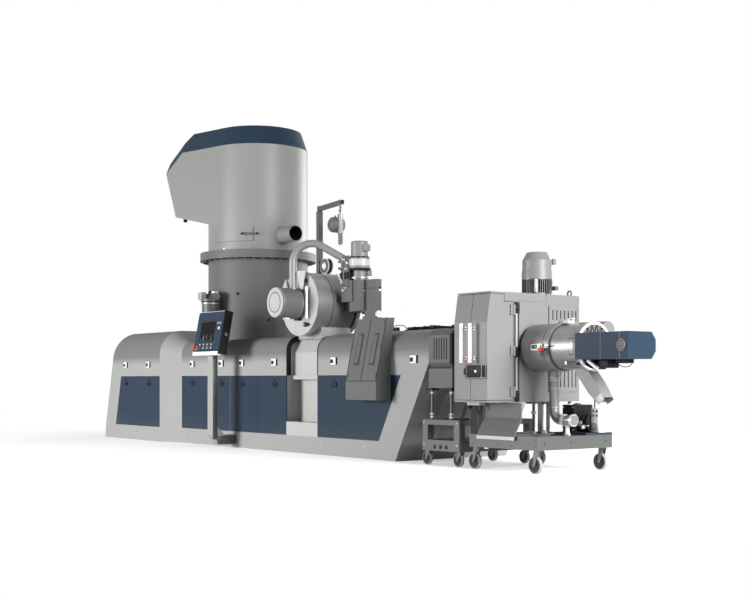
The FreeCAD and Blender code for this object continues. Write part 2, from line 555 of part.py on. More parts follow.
def make_operator_panel():
    body = prism("panel_body", "xz", rounded("0", "0", "panel_width", "panel_height", "panel_corner"),
                 "0", "panel_depth")
    body.Placement = FreeCAD.Placement(FreeCAD.Vector(), FreeCAD.Rotation(FreeCAD.Vector(-1, 0, 0), 11))
    body.setExpression("Placement.Rotation.Angle", bound("panel_lean"))
    move(body, "panel_x", "-panel_front", "panel_low")
    node("operator_panel", body)
    post = prism("arm_post", "yz", [
        ("-arm_front", "arm_bar_top"), ("arm_mitre - arm_front", "arm_bar_low"),
        ("-main_half - arm_plate_thick", "arm_bar_low"), ("-main_half - arm_plate_thick", "arm_bar_top"),
        ("arm_mitre - arm_back", "arm_bar_top"), ("-arm_back", "arm_bar_top + arm_mitre"),
        ("-arm_back", "arm_top"), ("-arm_front", "arm_top"),
    ], "arm_x", "arm_width")
    plate = box("arm_plate", "arm_width + 2 * arm_plate_margin", "arm_plate_thick",
                "arm_bar_top - arm_plate_low / 2",
                "arm_x - arm_plate_margin", "-main_half - arm_plate_thick", "arm_plate_low")
    node("panel_arm", cut("arm_mass", join("arm_joined", [post, plate]), [body]))


def make_filter():
    back = "filter_front - filter_back"
    drum = turned("filter_body", [("0", "0"), ("filter_flange_r", "0"),
            ("filter_flange_r", "filter_flange_thick"), ("filter_r", "filter_flange_thick"),
            ("filter_r", back), ("filter_flange_r", back),
            ("filter_flange_r", back + " + 1.5 * filter_flange_thick"),
            ("0", back + " + 1.5 * filter_flange_thick")], "filter_x", "-filter_front", "filter_z",
            "y")
    reach = "filter_drive_front - filter_front"
    drive = turned("filter_drive_body", [
        ("0", "0"), ("filter_drive_r - filter_drive_edge", "0"), ("filter_drive_r", "filter_drive_edge"),
        ("filter_drive_r", reach), ("0", reach),
    ], "filter_x", "-filter_drive_front", "filter_z", "y")
    bar = box("filter_bar", "filter_bar_size", "filter_bar_size", "2 * filter_bar_half",
              "filter_bar_x - filter_bar_size / 2", "-filter_front - filter_bar_off",
              "filter_z - filter_bar_half")
    stays = [rod("filter_stay_%d" % index, "filter_bar_size / 2.5", "filter_bar_off - filter_bar_size / 2",
                 "filter_bar_x", "-filter_front - filter_bar_off + filter_bar_size / 2",
                 "filter_z %s" % place, "y")
             for index, place in enumerate(("- filter_bar_half + filter_stub_inset",
                                            "+ filter_bar_half - filter_stub_inset"))]
    node("filter_drive", drive)
    node("filter_housing", join("filter_with_handle", [drum, bar] + stays))
    saddle = box("saddle_block", "2 * saddle_half", "saddle_front - filter_back", "saddle_top - bay_top",
                 "filter_x - saddle_half", "-saddle_front", "bay_top")
    feet = box("saddle_foot", "bay_end - bay_start", "bay_top_half - filter_back", "40", "bay_start",
               "-bay_top_half", "bay_top")
    node("filter_pedestal", cut("saddle_mass", join("saddle_joined", [saddle, feet]), [
        rod("saddle_trim", "filter_r + saddle_gap", "filter_front", "filter_x", "-filter_front", "filter_z",
            "y")]))
    gear = turned("gear_body", [("0", "melt_top"), ("motor_neck_r", "melt_top"),
            ("motor_neck_r", "gear_low"), ("gear_r", "gear_low"), ("gear_r", "gear_low + gear_thick"),
            ("motor_r", "gear_low + gear_thick"), ("motor_r", "motor_top - motor_edge"),
            ("motor_r - motor_edge", "motor_top"), ("0", "motor_top")], "motor_x", "-motor_y", "0")
    junction = box("motor_junction", "motor_r + junction_deep", "junction_size", "junction_size", "motor_x",
                   "-motor_y - junction_size / 2", "junction_low")
    node("filter_motor", join("gear_mass", [gear, junction]))
    melt = box("melt_block", "melt_width", "melt_depth", "melt_top - melt_low", "melt_x", "-melt_front",
               "melt_low")
    stool = box("melt_stool", "motor_stool", "motor_stool", "melt_top - bridge_z + bridge_half",
                "motor_x - motor_stool / 2", "-motor_y - motor_stool / 2", "bridge_z - bridge_half")
    bridge = box("melt_bridge", "melt_x - filter_x - filter_r", "bridge_deep", "2 * bridge_half",
                 "filter_x + filter_r", "-melt_front", "bridge_z - bridge_half")
    node("melt_housing", cut("melt_mass", join("melt_joined", [melt, stool, bridge]), [
        rod("melt_trim", "filter_flange_r + saddle_gap", "filter_front", "filter_x", "-filter_front",
            "filter_z", "y"),
        doc.getObject("right_hood_arch")]))


def make_crane():
    half = "crane_post / 2"
    node("crane_post", box("crane_column", "crane_post", "crane_post", "crane_top - mid_crown",
                           "crane_x - " + half, "-crane_y - " + half, "mid_crown"))
    cap = rod("jib_head", "jib_cap / 2", "jib_cap", "0", "0", "0")
    arm = box("jib_beam", "jib_length", "jib_deep", "jib_deep", "0", "-jib_deep / 2",
              "(jib_cap - jib_deep) / 2")
    jib = join("jib_mass", [cap, arm])
    hook_x = "jib_length - jib_deep"
    balancer = join("balancer_mass", [
        rod("balancer_drum", "balancer_r", "balancer_thick", hook_x + " - balancer_back",
            "-balancer_thick / 2",
            "-balancer_drop - balancer_r", "y"),
        box("balancer_bracket", "bracket_size", "bracket_size", "2 * balancer_r + bracket_size",
            hook_x + " - bracket_size / 2", "-bracket_size / 2",
            "-balancer_drop - 2 * balancer_r - bracket_size / 2"),
        rod("balancer_link", "link_r", "balancer_drop + (jib_cap - jib_deep) / 2", hook_x, "0",
            "-balancer_drop"),
        rod("balancer_spring", "spring_r", "crane_top - spring_low - balancer_drop - 2 * balancer_r",
            hook_x, "0", "spring_low - crane_top"),
    ])
    for item in (jib, balancer):
        item.Placement = FreeCAD.Placement(FreeCAD.Vector(), FreeCAD.Rotation(FreeCAD.Vector(0, 0, 1), 0))
        item.setExpression("Placement.Rotation.Angle", bound("jib_turn"))
        move(item, "crane_x", "-crane_y", "crane_top + jib_gap")
    node("jib_arm", jib)
    node("spring_balancer", balancer)


def make_chute():
    lean = "(chute_low_front - chute_top_front) / (chute_top - chute_low)"
    outline = [
        ("-chute_low_front", "chute_mouth"), ("-main_half", "chute_mouth"), ("-main_half", "right_spring"),
        ("chute_deep * 2 - chute_top_front", "chute_top"), ("-chute_top_front", "chute_top"),
        ("-chute_low_front", "chute_low"),
    ]
    whole = prism("chute_body", "yz", outline, "chute_x", "chute_width")
    seam = box("chute_seam_cut", "chute_seam", "chute_low_front", "chute_top - chute_low + chute_over",
               "chute_x + chute_width / 2 - chute_seam / 2", "-chute_low_front - chute_leaf", "chute_low")
    keep = prism("chute_seam_keep", "yz", [
        ("chute_leaf - chute_low_front", "chute_low - chute_over"), ("0", "chute_low - chute_over"),
        ("0", "chute_top + chute_over"), ("chute_leaf - chute_top_front", "chute_top + chute_over"),
    ], "chute_x", "chute_width")
    seam_cut = cut("chute_seam_tool", seam, [keep])
    pulls = []
    for index, share in enumerate((0.28, 0.78)):
        x = "chute_x + chute_width * %g" % share
        for end_name, height in (("low", "pull_low"), ("high", "pull_high")):
            front = "-chute_low_front + (%s - chute_low) * %s - pull_off" % (height, lean)
            pulls.append(rod("pull_%s_%d" % (end_name, index), "pull_r", "pull_off + chute_leaf", x,
                             front, height, "y"))
        bar = rod("pull_bar_%d" % index, "pull_r", "pull_high - pull_low + 2 * pull_r", x,
                  "-chute_low_front + (pull_low - chute_low) * %s - pull_off" % lean, "pull_low - pull_r")
        bar.Placement = FreeCAD.Placement(bar.Placement.Base,
                FreeCAD.Rotation(FreeCAD.Vector(-1, 0, 0), 12))
        bar.setExpression("Placement.Rotation.Angle", bound("atan(%s)" % lean))
        pulls.append(bar)
    hood_trim = common("chute_hood_trim", [whole, doc.getObject("right_hood_arch")])
    node("discharge_chute", cut("chute_mass", join("chute_joined", [whole] + pulls), [seam_cut, hood_trim]))


def make_guard():
    node("barrel_lid", prism("lid_body", "xy", rounded("lid_x", "-lid_half", "lid_x + lid_length",
            "lid_half", "lid_corner"), CROWN_Z, "lid_rise"))
    hood_end = RIGHT_DECK + " + end_rise * tan(rake_right)"
    pipes = [
        rod("pipe_in", "pipe_r", "guard_x - (%s)" % hood_end, hood_end, "-axis_y", "axis_z", "x"),
        rod("pipe_out", "pipe_r", "cab_x - guard_x - guard_width", "guard_x + guard_width", "-axis_y",
            "axis_z",
            "x"),
    ]
    guard = prism("guard_body", "yz", [
        ("-guard_front", "guard_low + guard_bevel"), ("guard_bevel - guard_front", "guard_low"),
        ("guard_depth - guard_front", "guard_low"), ("guard_depth - guard_front", "guard_top"),
        ("guard_bevel - guard_front", "guard_top"), ("-guard_front", "guard_top - guard_bevel"),
    ], "guard_x", "guard_width")
    slots = [box("guard_slot_%d" % index, "slot_width", "slot_deep",
                 "guard_top - guard_low - 3 * guard_bevel",
                 "guard_x + guard_width / 2 - slot_width / 2 + slot_pitch * %g" % (index - 2.5),
                 "-guard_front", "guard_low + 1.5 * guard_bevel") for index in range(SIZES["slot_count"])]
    slotted = cut("guard_slotted", guard, slots)
    base = box("guard_base", "guard_width + guard_base_left - guard_base_inset",
               "guard_depth - guard_base_inset",
               "guard_low - guard_base_low", "guard_x - guard_base_left", "guard_base_inset - guard_front",
               "guard_base_low")
    node("guard_box", join("guard_mass", [slotted, base] + pipes))

    frame = box("cart_block", "cart_length", "cart_depth", "cart_top - cart_low", "cart_x", "-cart_front",
                "cart_low")
    window = box("cart_window", "cart_length - 2 * cart_wall", "cart_depth",
                 "cart_top - cart_sill - cart_rail",
                 "cart_x + cart_wall", "-cart_front", "cart_sill")
    well = box("cart_well", "cart_length - cart_wall", "cart_depth - 2 * cart_wall", "cart_top - cart_low",
               "cart_x + cart_wall / 2", "cart_wall - cart_front", "cart_sill")
    side_window = box("cart_side_window", "cart_length", "cart_depth - 2 * cart_wall",
                      "cart_top - cart_sill - cart_rail", "cart_x", "cart_wall - cart_front", "cart_sill")
    far_screw = "guard_depth - guard_front - jack_pad"
    cross = box("cart_cross", "cart_length", "cart_wall", "cart_rail", "cart_x",
                far_screw + " - cart_wall / 2",
                "cart_top - cart_rail")
    cart = join("cart_joined", [cut("cart_mass", frame, [window, well, side_window]), cross])
    screws = []
    for row_name, y in (("near", "cart_wall / 2 - cart_front"), ("far", far_screw)):
        for side_name, x in (("left", "cart_x + jack_from_left"),
                ("right", "cart_x + cart_length - 2 * cart_wall")):
            tag = row_name + "_" + side_name
            screws.append(rod("jack_" + tag, "jack_r", "guard_base_low - cart_top", x, y, "cart_top"))
            screws.append(rod("jack_pad_" + tag, "jack_pad", "jack_pad_thick", x, y,
                              "guard_base_low - jack_pad_thick"))
    node("cart_frame", join("cart_with_screws", [cart] + screws))


def make_cabinet():
    end = "cab_x + cab_length"
    front = "-cab_front"

    def mass(name, inset, low, high, start, length):
        """The cabinet's outline, inset in front, which leans back above the spring line."""
        return prism(name, "yz", [("%s + %s" % (front, inset), low), ("cab_back", low),
                ("cab_back", high),
                ("%s + cab_lean * (%s - cab_spring) / (cab_top - cab_spring) + %s" % (front, high,
                inset), high), ("%s + %s" % (front, inset), "cab_spring")], start, length)

    def door_zone(name, gap, start, length):
        """Where a leaf lies, with the strip of the body above its rear part left out."""
        low = "cab_low + cab_wall + " + gap
        return prism(name, "yz", [(front, low), ("-hinge_y - " + gap, low),
                ("-hinge_y - " + gap, "strip_low - " + gap), ("-strip_y - " + gap,
                "strip_low - " + gap), ("-strip_y - " + gap, "cab_top - cab_wall - " + gap),
                (front, "cab_top - cab_wall - " + gap)], start, length)

    whole = mass("cab_body", "0", "cab_low", "cab_top", "cab_x", "cab_length")
    roof = box("roof_plate", "cab_length", "cab_back + roof_front", "roof_thick", "cab_x", "-roof_front",
               "cab_top - roof_thick")
    vents = [box("vent_panel", "vent_proud", "vent_front + vent_back", "vent_top - vent_low", end,
                 "-vent_front",
                 "vent_low")]
    slots = []
    for row_name, high, low, count in (("high", "vent_slot_high", "vent_top - vent_margin - vent_slot_high",
                                        7),
                                       ("low", "vent_slot_low", "vent_low + vent_margin", 5)):
        for index in range(count):
            slots.append(box("vent_%s_%d" % (row_name, index), "vent_slot_deep", "vent_slot", high,
                             end + " + vent_proud - vent_slot_deep",
                             "vent_back - vent_margin - %d * vent_pitch" % index, low))
    side_motor = rod("side_motor", "side_motor_r", "side_motor_end - side_motor_start", "side_motor_start",
                     "cab_back + side_motor_off", "side_motor_z", "x")
    body = cut("cab_mass", join("cab_joined", [whole, side_motor] + vents), [
        door_zone("door_space", "0", "cab_x", "cab_length"), roof] + slots)
    node("cabinet_body", body)
    seam = "cab_x + cab_length / 2"
    knuckle_low = "cab_low + cab_wall + leaf_gap"
    knuckle_run = "(strip_low - cab_low - cab_wall - 2 * leaf_gap)"
    shares = (0.08, 0.5, 0.92)
    for side_name, sign in (("right", 1), ("left", -1)):
        wall_x = end if sign > 0 else "cab_x"
        start = seam + " + leaf_gap / 2" if sign > 0 else "cab_x"
        inner_start = "cab_x" if sign > 0 else "cab_x + leaf_thick"
        leaf = cut("leaf_" + side_name, common("leaf_skin_" + side_name, [
            mass("leaf_outline_" + side_name, "0", "cab_low", "cab_top", start,
                 "cab_length / 2 - leaf_gap / 2"),
            door_zone("leaf_zone_" + side_name, "leaf_gap", start, "cab_length / 2 - leaf_gap / 2"),
        ]), [mass("leaf_hollow_" + side_name, "leaf_thick", "cab_low", "cab_top", inner_start,
                  "cab_length - leaf_thick")])
        knuckle_x = "%s + %d * sqrt((hinge_r + seat)^2 - leaf_gap^2)" % (wall_x, sign)
        knuckles = [rod("knuckle_%s_%d" % (side_name, index), "hinge_r", "knuckle_high", knuckle_x,
                "-hinge_y - leaf_gap", "%s + %s * %g - knuckle_high / 2" % (knuckle_low, knuckle_run,
                share)) for index, share in enumerate(shares)]
        tabs = [box("hinge_tab_%s_%d" % (side_name, index), "hinge_r", "3 * hinge_r", "knuckle_high",
                    wall_x if sign > 0 else wall_x + " - hinge_r", "-hinge_y - leaf_gap - 3 * hinge_r",
                    "%s + %s * %g - knuckle_high / 2" % (knuckle_low, knuckle_run, share))
                for index, share in enumerate(shares)]
        handle_x = "%s + %d * handle_from_seam" % (seam, sign)
        handle = box("handle_bar_" + side_name, "handle_size", "handle_size", "handle_high - handle_low",
                     handle_x + " - handle_size / 2", front + " - handle_off", "handle_low")
        stubs = [rod("handle_stub_%s_%d" % (side_name, index), "handle_size / 3", "handle_off", handle_x,
                     front + " - handle_off + handle_size / 2", place, "y")
                 for index, place in enumerate(("handle_low + 2 * handle_size",
                                                "handle_high - 2 * handle_size"))]
        width = "lock_right - leaf_gap" if sign > 0 else "lock_left - leaf_gap"
        lock = box("lock_" + side_name, width, "lock_deep", "lock_rise",
                   seam + " + leaf_gap" if sign > 0 else seam + " - lock_left", front + " - lock_deep",
                   "lock_low")
        node("cabinet_door_" + side_name, join("leaf_mass_" + side_name,
                [leaf, handle, lock] + knuckles + tabs + stubs))
    eyes = [turned("eye_%d" % index, slab("eye_r - eye_thick / 2", "-eye_thick / 2",
            "eye_r + eye_thick / 2", "eye_thick / 2"), end + " - eye_inset", y, "cab_top + eye_r",
            "y") for index, y in enumerate(("-eye_near", "eye_far"))]
    node("cabinet_top", join("roof_mass", [roof] + eyes))
    top = "cab_top + drive_rise"
    drive = turned("drive_body", [("0", "cab_top"), ("drive_r + drive_foot_lip", "cab_top"),
            ("drive_r + drive_foot_lip", "cab_top + drive_foot"), ("drive_r", "cab_top + drive_foot"),
            ("drive_r", top + " - cowl_rise"), ("cowl_r", top + " - cowl_rise"),
            ("cowl_r", top + " - cowl_bell"), ("cowl_crown_r", top), ("0", top)], "drive_x",
            "-drive_y", "0")
    node("cabinet_motor", drive)


def make_head():
    node("pelletizer_chamber", turned("chamber_body", [
        ("0", "0"), ("neck_r", "0"), ("neck_r", "clamp_neck"), ("clamp_r", "clamp_neck"),
        ("clamp_r", "clamp_neck + clamp_length"), ("chamber_r", "clamp_neck + clamp_length"),
        ("chamber_r", "chamber_end - clamp_start"), ("0", "chamber_end - clamp_start"),
    ], "clamp_start", "-axis_y", "axis_z", "x"))
    node("pelletizer_end", turned("end_body", [
        ("0", "0"), ("end_r", "0"), ("end_r", "end_thick"), ("0", "end_thick"),
    ], "chamber_end", "-axis_y", "axis_z", "x"))
    node("drive_cover", prism("cover_body", "yz", [
        ("-cover_front", "cover_low"), ("-cover_back - cover_cut_y", "cover_low"),
        ("-cover_back", "cover_low + cover_cut_z"), ("-cover_back", "cover_top - cover_cut_z"),
        ("-cover_back - cover_cut_y", "cover_top"), ("-cover_front", "cover_top"),
    ], "chamber_end + end_thick", "cover_end - chamber_end - end_thick"))
    root = "axis_z - chamber_r / 2"
    spout = prism("spout_body", "xz", [
        ("spout_start", root), ("spout_start", "spout_heel_z"), ("spout_knee_x", "spout_knee_z"),
        ("spout_toe_x", "spout_toe_z"), ("spout_lip_x", "spout_lip_z"), ("spout_chin_x", "spout_chin_z"),
        ("spout_brow_x", "spout_brow_z"), ("spout_end", "spout_nape_z"), ("spout_end", root),
    ], "-spout_y - spout_width / 2", "spout_width")
    hollow = prism("spout_hollow", "xz", [("spout_start + spout_wall", "axis_z"),
            ("spout_start + spout_wall", "spout_heel_z + spout_wall"),
            ("spout_knee_x + spout_wall", "spout_knee_z + spout_wall"),
            ("spout_toe_x + spout_wall / 2", "spout_toe_z - spout_wall"),
            ("spout_lip_x + spout_wall", "spout_lip_z - spout_wall"),
            ("spout_chin_x - spout_wall", "spout_chin_z"),
            ("spout_brow_x - spout_wall", "spout_brow_z - spout_wall / 2"),
            ("spout_end - spout_wall", "spout_nape_z - spout_wall / 2"),
            ("spout_end - spout_wall", "axis_z")], "spout_wall - spout_y - spout_width / 2",
            "spout_width - 2 * spout_wall")
    node("outlet_spout", cut("spout_mass", spout, [
        hollow,
        rod("spout_trim_chamber", "chamber_r + drum_gap", "chamber_end - clamp_start", "clamp_start",
            "-axis_y",
            "axis_z", "x"),
        rod("spout_trim_end", "end_r + drum_gap", "2 * end_thick", "chamber_end - drum_gap", "-axis_y",
            "axis_z", "x"),
    ]))
    drop = rod("water_drop", "water_r", "axis_z - water_low - water_bend", "water_x", "-axis_y",
               "water_low + water_bend")
    run = rod("water_run", "water_r", "water_run", "water_x + water_bend", "-axis_y", "water_low", "x")
    bend = doc.addObject("Part::Torus", "water_bend_piece")
    flip = FreeCAD.Rotation(FreeCAD.Vector(0, 1, 0), 180) * FreeCAD.Rotation(FreeCAD.Vector(1, 0, 0), 90)
    bend.Placement = FreeCAD.Placement(FreeCAD.Vector(), flip)
    bend.setExpression("Radius1", bound("water_bend"))
    bend.setExpression("Radius2", bound("water_r"))
    bend.Angle3 = 90
    move(bend, "water_x + water_bend", "-axis_y", "water_low + water_bend")
    collar = rod("water_collar", "water_r + collar_lip", "collar_long", "water_x", "-axis_y",
                 "axis_z - clamp_r - collar_drop")
    node("water_pipe", cut("water_mass", join("water_joined", [drop, bend, run, collar]), [
        rod("water_trim", "clamp_r + drum_gap", "chamber_end - clamp_start", "clamp_start", "-axis_y",
            "axis_z", "x"),
    ]))


def make_hose():
    """The thick hose from the filter drive up and over to the valve column, held at both ends."""
    body = doc.addObject("PartDesign::Body", "hose_body")
    path = body.newObject("Sketcher::SketchObject", "hose_path")
    path.AttachmentSupport = [(next(f for f in body.Origin.OriginFeatures if f.Role == "XZ_Plane"), "")]
    path.MapMode = "FlatFace"
    rise, bend, fall = value("hose_rise"), value("hose_bend"), value("hose_fall")
    up = FreeCAD.Vector(0, 0, 1)
    centre = FreeCAD.Vector(bend, rise, 0)
    start = path.addGeometry(Part.LineSegment(FreeCAD.Vector(0, 0, 0), FreeCAD.Vector(0, rise, 0)), False)
    slope = math.radians(value("hose_slope"))
    leave = centre + FreeCAD.Vector(math.sin(slope), math.cos(slope), 0) * bend
    arc = path.addGeometry(Part.ArcOfCircle(Part.Circle(centre, up, bend), math.pi / 2 - slope, math.pi),
                           False)
    finish = leave + FreeCAD.Vector(math.cos(slope), -math.sin(slope), 0) * fall
    end = path.addGeometry(Part.LineSegment(leave, finish), False)
    path.addConstraint([Sketcher.Constraint("Coincident", start, 1, -1, 1),
            Sketcher.Constraint("Vertical", start), Sketcher.Constraint("Tangent", start, 2, arc, 2),
            Sketcher.Constraint("Tangent", arc, 1, end, 1),
            Sketcher.Constraint("DistanceY", start, 1, start, 2, rise),
            Sketcher.Constraint("Radius", arc, bend), Sketcher.Constraint("Distance", end, 1, end, 2,
            fall), Sketcher.Constraint("DistanceX", -1, 1, end, 1, leave.x)])
    leave_x = "hose_bend + hose_bend * sin(hose_slope)"
    for index, text in ((4, "hose_rise"), (5, "hose_bend"), (6, "hose_fall"), (7, leave_x)):
        path.setExpression("Constraints[%d]" % index, bound(text))
    ring = draw(body, "xy", "0", [("circle", "0", "0", "hose_r")])
    pipe = body.newObject("PartDesign::AdditivePipe", "hose_sweep")
    pipe.Profile = ring
    pipe.Spine = (path, ["Edge1", "Edge2", "Edge3"])
    body.Tip = pipe
    body.Placement = FreeCAD.Placement(FreeCAD.Vector(),
            FreeCAD.Rotation(FreeCAD.Vector(0, 0, 1), value("hose_turn")))
    body.setExpression("Placement.Rotation.Angle", bound("hose_turn"))
    move(body, "hose_x", "-hose_y", "filter_z")
    trim = rod("hose_trim", "filter_drive_r + saddle_gap", "main_half", "filter_x", "-filter_drive_front",
               "filter_z",
               "y")
    node("filter_hose", cut("hose_mass", body, [trim]))
    column = box("valve_column", "valve_long", "valve_deep", "valve_top - bridge_z", "valve_x", "-valve_y",
                 "bridge_z")
    valve = cut("valve_mass", column, [body, rod("valve_trim", "gear_r + seat", "motor_top - melt_top",
                                                 "motor_x",
                                                 "-motor_y", "melt_top")])
    housing = next(item for item in NODES if item.Label == "melt_housing")
    NODES.remove(housing)
    housing.Label = "melt_body"
    node("melt_housing", join("melt_with_valve", [housing, valve]))


def make_trolley():
    long = "trolley_end - trolley_x"
    deep = "trolley_front + trolley_back"
    frame = box("trolley_block", long, deep, "trolley_top - trolley_low", "trolley_x", "-trolley_front",
                "trolley_low")
    well = box("trolley_well", long + " - 2 * trolley_wall", deep + " - 2 * trolley_wall", "trolley_top",
               "trolley_x + trolley_wall", "trolley_wall - trolley_front", "trolley_low")
    cross = box("trolley_cross", "trolley_wall", deep, "trolley_top - trolley_low",
                "cab_x + cab_length - trolley_wall / 2", "-trolley_front", "trolley_low")
    columns = [
        box("column_near", "column_size", "column_size", "cab_low - trolley_top", "column_x",
            "-trolley_front", "trolley_top"),
        box("column_far", "column_size", "column_size", "cab_low - trolley_top", "column_x",
            "trolley_back - column_size", "trolley_top"),
    ]
    for index, place in enumerate(("leg_near", "leg_far")):
        columns.append(rod("leg_%d" % index, "leg_r", "cab_low - trolley_top",
                           "cab_x + cab_length - 2 * leg_r",
                           "-" + place if index == 0 else place, "trolley_top"))
    node("trolley_frame", join("trolley_mass", [cut("trolley_ring", frame, [well]), cross] + columns))
    node("scrap_chute", prism("scrap_body", "yz",
            [("-scrap_back", "cab_low"), ("-scrap_back", "scrap_fold"), ("-scrap_front", "scrap_low"),
            ("-scrap_front", "scrap_low - scrap_lip"), ("scrap_thick - scrap_front",
            "scrap_low - scrap_lip"), ("scrap_thick - scrap_front", "scrap_low - scrap_thick / 2"),
            ("scrap_thick - scrap_back", "scrap_fold - scrap_thick"),
            ("scrap_thick - scrap_back", "cab_low")], "scrap_x", "scrap_length"))
    tray = box("tank_tray", "trolley_end - tray_x", "tray_deep", "tray_thick", "tray_x",
               "trolley_back - tray_deep", "trolley_top")
    tank = box("tank_block", "tank_length", "tank_deep", "tank_rise", "tank_x", "trolley_back - tank_deep",
               "trolley_top + tray_thick")
    pump = rod("pump_block", "pump_r", "pump_length", "pump_x", "pump_y",
               "trolley_top + tray_thick + pump_r", "x")
    box_low = box("control_block", "control_long", "control_deep", "control_rise", "control_x", "control_y",
                  "trolley_top + tray_thick")
    stick = rod("control_stick", "stick_r", "control_stick", "control_x + stick_x", "control_y + stick_y",
                "trolley_top + tray_thick + control_rise")
    knob = doc.addObject("Part::Sphere", "control_knob")
    knob.setExpression("Radius", bound("control_knob_r"))
    move(knob, "control_x + stick_x", "control_y + stick_y",
         "trolley_top + tray_thick + control_rise + control_stick + knob_seat")
    node("water_unit", join("water_unit_mass", [tray, tank, pump, box_low, stick, knob]))


def make_caster(tag, x, y, wheel_r, wide, top):
    """A swivel caster under (x, y), its wheel trailing towards -X."""
    axle_x = "%s - fork_trail" % x
    node("caster_wheel_" + tag, cut("wheel_mass_" + tag, turned("wheel_body_" + tag, [
        ("axle_r + axle_gap", "0"), (wheel_r + " - tread_edge", "0"), (wheel_r, "tread_edge"),
        (wheel_r, wide + " - tread_edge"), (wheel_r + " - tread_edge", wide), ("axle_r + axle_gap", wide),
    ], axle_x, "%s - %s / 2" % (y, wide), wheel_r, "y"), [
        rod("wheel_dish_%s_%d" % (tag, index), wheel_r + " * dish_share", "dish_deep", axle_x,
            place, wheel_r, "y")
        for index, place in enumerate(("%s - %s / 2" % (y, wide), "%s + %s / 2 - dish_deep" % (y, wide)))]))
    bridge_top = "%s - swivel_gap - stem_long" % top
    side = "%s / 2 + fork_gap" % wide
    cheeks = []
    for side_name, start in (("near", "%s - (%s) - fork_plate" % (y, side)),
            ("far", "%s + %s" % (y, side))):
        cheeks.append(prism("cheek_%s_%s" % (side_name, tag), "xz",
                [(axle_x + " - cheek_foot", wheel_r + " - cheek_foot"),
                (axle_x + " + cheek_foot", wheel_r + " - cheek_foot"),
                (x + " + cheek_front", bridge_top), (x + " - cheek_back", bridge_top)], start,
                "fork_plate"))
    bridge = box("bridge_" + tag, "cheek_front + cheek_back", "%s + 2 * fork_gap + 2 * fork_plate" % wide,
                 "fork_plate", x + " - cheek_back",
                 "%s - (%s) - fork_plate" % (y, side), "%s - fork_plate" % bridge_top)
    axle = rod("axle_" + tag, "axle_r", "%s + 2 * fork_gap + 2 * fork_plate" % wide, axle_x,
               "%s - (%s) - fork_plate" % (y, side), wheel_r, "y")
    stem = rod("stem_" + tag, "stem_r", "stem_long", x, y, bridge_top)
    node("caster_fork_" + tag, join("fork_mass_" + tag, cheeks + [bridge, axle, stem]))


def make_casters():
    for machine, radius, wide, top in (("trolley", "trolley_wheel_r", "trolley_wheel_wide", "trolley_low"),
                                       ("cart", "cart_wheel_r", "cart_wheel_wide", "cart_low")):
        for row_name, sign in (("near", "-"), ("far", "")):
            for side_name in ("left", "right"):
                x = "%s_cast_%s" % (machine, side_name)
                y = "%s%s_cast_%s" % (sign, machine, row_name)
                make_caster("%s_%s_%s" % (machine, row_name, side_name), x, y, radius, wide, top)


def check_and_export():
    doc.recompute()
    for item in doc.Objects:
        if "Invalid" in item.State or "Error" in item.State:
            raise RuntimeError("%s did not compute: %s" % (item.Name, item.State))
    for item in NODES:
        if item.Shape.isNull() or not item.Shape.isValid() or item.Shape.Volume <= 0:
            raise RuntimeError("%s has no sound shape" % item.Label)
    for item in NODES:
        item.Shape.exportStep("parts/%s.step" % item.Label)


make_base()
make_hoods()
make_drum()
make_operator_panel()
make_filter()
make_crane()
make_chute()
make_guard()
make_cabinet()
make_head()
make_hose()
make_trolley()
make_casters()
check_and_export()
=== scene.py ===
"""Plastic pelletizing line: finishes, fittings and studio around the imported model."""
import bmesh
import bpy
import json
import math
from bpy.props import FloatProperty, FloatVectorProperty, PointerProperty
from bpy.types import Operator, Panel, PropertyGroup
from mathutils import Matrix, Vector
from mathutils.geometry import interpolate_bezier


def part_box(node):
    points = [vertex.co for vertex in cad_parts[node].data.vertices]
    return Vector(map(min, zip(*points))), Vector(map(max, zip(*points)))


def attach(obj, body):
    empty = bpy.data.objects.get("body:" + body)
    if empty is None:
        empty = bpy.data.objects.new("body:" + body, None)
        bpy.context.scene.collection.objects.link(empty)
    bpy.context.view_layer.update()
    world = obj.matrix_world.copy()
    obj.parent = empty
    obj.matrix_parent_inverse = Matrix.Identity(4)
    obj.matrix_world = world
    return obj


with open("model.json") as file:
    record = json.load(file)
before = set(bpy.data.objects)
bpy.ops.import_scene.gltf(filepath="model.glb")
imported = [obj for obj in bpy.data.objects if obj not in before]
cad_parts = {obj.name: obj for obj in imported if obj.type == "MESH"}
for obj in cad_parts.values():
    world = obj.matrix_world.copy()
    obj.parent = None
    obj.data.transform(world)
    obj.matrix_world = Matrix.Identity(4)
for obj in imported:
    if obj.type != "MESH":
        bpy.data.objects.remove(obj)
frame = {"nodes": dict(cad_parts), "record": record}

bl_info = {
    "name": "Pelletizing Line",
    "version": (1, 0, 0),
    "blender": (4, 5, 0),
    "location": "View3D > Sidebar > Pelletizer",
    "description": "Dresses a plastic pelletizing line with its finishes, fittings and studio",
    "category": "Object",
}

FINISHES = {}
# The nodes whose finish isn't the one that bears the name of their material slot.
NODE_FINISHES = {
    "drum_grey": ("drum_shell", "filter_drive", "melt_housing", "discharge_chute", "guard_box",
                  "scrap_chute"),
    "head_grey": ("head_shell", "exhaust_port", "inspection_hatch", "pelletizer_end"),
    "cabinet_grey": ("cabinet_body", "cabinet_top", "cabinet_door_right", "cabinet_door_left",
                     "outlet_spout"),
    "hood_grey_shaded_top": ("left_hood", "mid_hood", "right_hood"),
    "motor_grey": ("cabinet_motor", "filter_motor"),
    "hose_braid": ("filter_hose", "spring_balancer"),
    "turned_steel": ("filter_housing",),
    # Painted light: the bay's recessed housing takes the light paint to lighten the shade that falls in it.
    "light_grey": ("bay_housing",),
    "black": ("barrel_lid", "water_unit"),
}
X, Y, Z = Vector((1, 0, 0)), Vector((0, 1, 0)), Vector((0, 0, 1))
